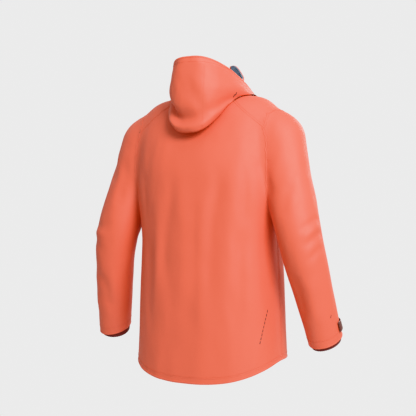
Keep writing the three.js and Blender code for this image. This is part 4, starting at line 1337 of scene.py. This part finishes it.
def relax_armholes(obj):
    """Softens the crease where each sleeve joins the body and lets the shoulders slope into the sleeves."""
    places = coordinates(obj.data)[sorted(set(armhole_vertices(obj)))]

    def crease(v):
        return max(0, 1 - np.min(np.linalg.norm(places - np.array(v.co), axis=1)) / ARMHOLE_SOFT)

    def shoulder(v):
        high = float(smooth((v.co.z - SHOULDER_FOOT_Z) / 0.12))
        from_middle = float(smooth((abs(v.co.x) - SHOULDER_X[0]) / 0.05))
        return high * from_middle * float(smooth((SHOULDER_X[1] - abs(v.co.x)) / 0.04))

    def chest(v):
        return 1 - min(1, abs(v.co.z - CHEST_Z) / CHEST_REACH)

    relax(obj, 2, crease)
    relax(obj, 26, shoulder)
    relax(obj, 20, chest)


def add_panels(garment):
    """Cuts the garment into its panels, hangs all but the sleeve panels on the shell and returns the armhole line.
    """
    places = coordinates(garment.data)[armhole_vertices(garment)]
    cut_panels(garment)
    panels = split_panels(garment, SHELL_WALL, (MATERIALS["shell"], MATERIALS["inside"]))
    for name, panel in panels.items():
        co = coordinates(panel.data)
        co = co[:len(co) // 2]  # the inner layer follows the outer one point for point
        if name.startswith("upper"):
            set_weights(panel)
        elif name.startswith("lower"):
            set_weights(panel)
        else:
            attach(panel, "shell")
        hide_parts(name)
    return panels, places


SIDE_TOP_Z, SIDE_FOOT_Z = -0.345, -0.735
HEM_STITCH_Z, HEM_EDGE_Z = -0.726, -0.7355


def add_seams(tree):
    sides = []
    for side in (1, -1):
        angle = 0 if side > 0 else math.pi
        sides.append([lower_point(angle, z) + Vector((0, 0.0015, 0))
                      for z in np.linspace(SIDE_TOP_Z, SIDE_FOOT_Z, 30)])
        line = []
        for depth in (0.4, -0.4):
            part = []
            for x in np.linspace(0.086, 0.200, 14):
                z = YOKE_NECK_Z - YOKE_SLOPE * (x - YOKE_NECK_X)
                hit = tree.ray_cast(Vector((x * side, depth, z)), Vector((0, -depth, 0)).normalized())[0]
                if hit:
                    part.append(hit)
            line.append(part)
        word = "left" if side > 0 else "right"
        seam(f"shoulder_seam_{word}", line, tree, "shell")
    seam("side_seams", sides, tree, "shell", ridge=(0.004, 0.0004), rows_at=(0.0045,))
    around = [math.radians(a) for a in np.linspace(-86, 266, 160)]
    seam("hem_stitching", [[lower_point(a, HEM_STITCH_Z) for a in around]], tree, "shell",
         ridge=(0.003, 0.0003), rows_at=(0.003,))
    seam("hem_edge", [[lower_point(a, HEM_EDGE_Z) for a in around]], tree, "shell",
         ridge=(0.0050, 0.0009), rows_at=())


def ordered_loops(places):
    """Armhole points, sorted round the sleeve's head on each side."""
    loops = []
    for side in (1, -1):
        mine = places[places[:, 0] * side > 0]
        middle = mine.mean(axis=0)
        angle = np.arctan2(mine[:, 1] - middle[1], mine[:, 2] - middle[2])
        order = np.argsort(angle)
        line, last = [], None
        for i in order:
            if last is None or np.linalg.norm(mine[i] - last) > 0.008:
                line.append(Vector(mine[i]))
                last = mine[i]
        loops.append((side, line))
    return loops


def add_armhole_seams(armhole, tree):
    for side, line in ordered_loops(armhole):
        word = "left" if side > 0 else "right"
        seam(f"armhole_seam_{word}", [line + line[:1]], tree, "shell", ridge=(0.0035, 0.0008), rows_at=(0.004,))


def add_cuffs(tree):
    for side, word in ((1, "left"), (-1, "right")):
        add_storm_cuff(side, word)
        add_cuff_tab(side, word)
        for name, back, ridge, rows_at in (("stitching", 0.022, None, (0,)), ("edge", 0.0022, (0.004, 0.0007), ())):
            line = [flip(p, side) for p in cuff_ring(back, 0, 60, cuff_slope(side))]
            seam(f"cuff_{name}_{word}", [line + line[:1]], tree, f"{word}_forearm", ridge=ridge, rows_at=rows_at)


def add_soft_parts():
    for word in ("left", "right"):
        softened(f"pocket_bag_{word}", MATERIALS["inside"])
    softened("storm_flap", MATERIALS["lining"], voxel=0.0014)
    softened("hem_facing", MATERIALS["shell_seam"], voxel=0.0014, smoothing=2, wave=0.0002)
    softened("hanging_loop", MATERIALS["dark"], voxel=0.0007, smoothing=3, wave=0.0002)


def add_marks(panels, hood_tree):
    line = [(mix(0.131, 0.152, k / 8), mix(-0.681, -0.596, k / 8)) for k in range(9)]
    bars("back_print", line, tree_of(panels["back_panel"]), 0.0013, 0.0040, "shell")
    bars("hood_print", [(0.061, 0.004), (0.067, 0.010)], hood_tree, 0.0016, 0.0046, "hood")
    forearm_tree = tree_of(panels["lower_sleeve_right"])
    bars("forearm_print", [(0.322, -0.606)], forearm_tree, 0.0012, 0.0045, "right_forearm")


def colour_hard_parts():
    """Gives the CAD nodes that stay as they are their material."""
    kinds = {"slider": "metal", "button": "plastic", "puller": "puller"}
    for name, node in frame["nodes"].items():
        kind = "lock" if name.startswith("hem_lock") else None
        kind = next((k for end, k in kinds.items() if name.endswith(end)), kind)
        if kind:
            node.data.materials.clear()
            node.data.materials.append(MATERIALS[kind])


MATERIALS = make_materials()
make_camera()
make_studio()
garment = build_surface()
garment_tree = tree_of(garment)
panels, armhole = add_panels(garment)
add_seams(garment_tree)
add_armhole_seams(armhole, garment_tree)
hood_tree = add_hood(garment_tree)
add_collar()
add_cuffs(garment_tree)
add_zips()
add_soft_parts()
bpy.data.objects.remove(garment)
add_marks(panels, hood_tree)
colour_hard_parts()
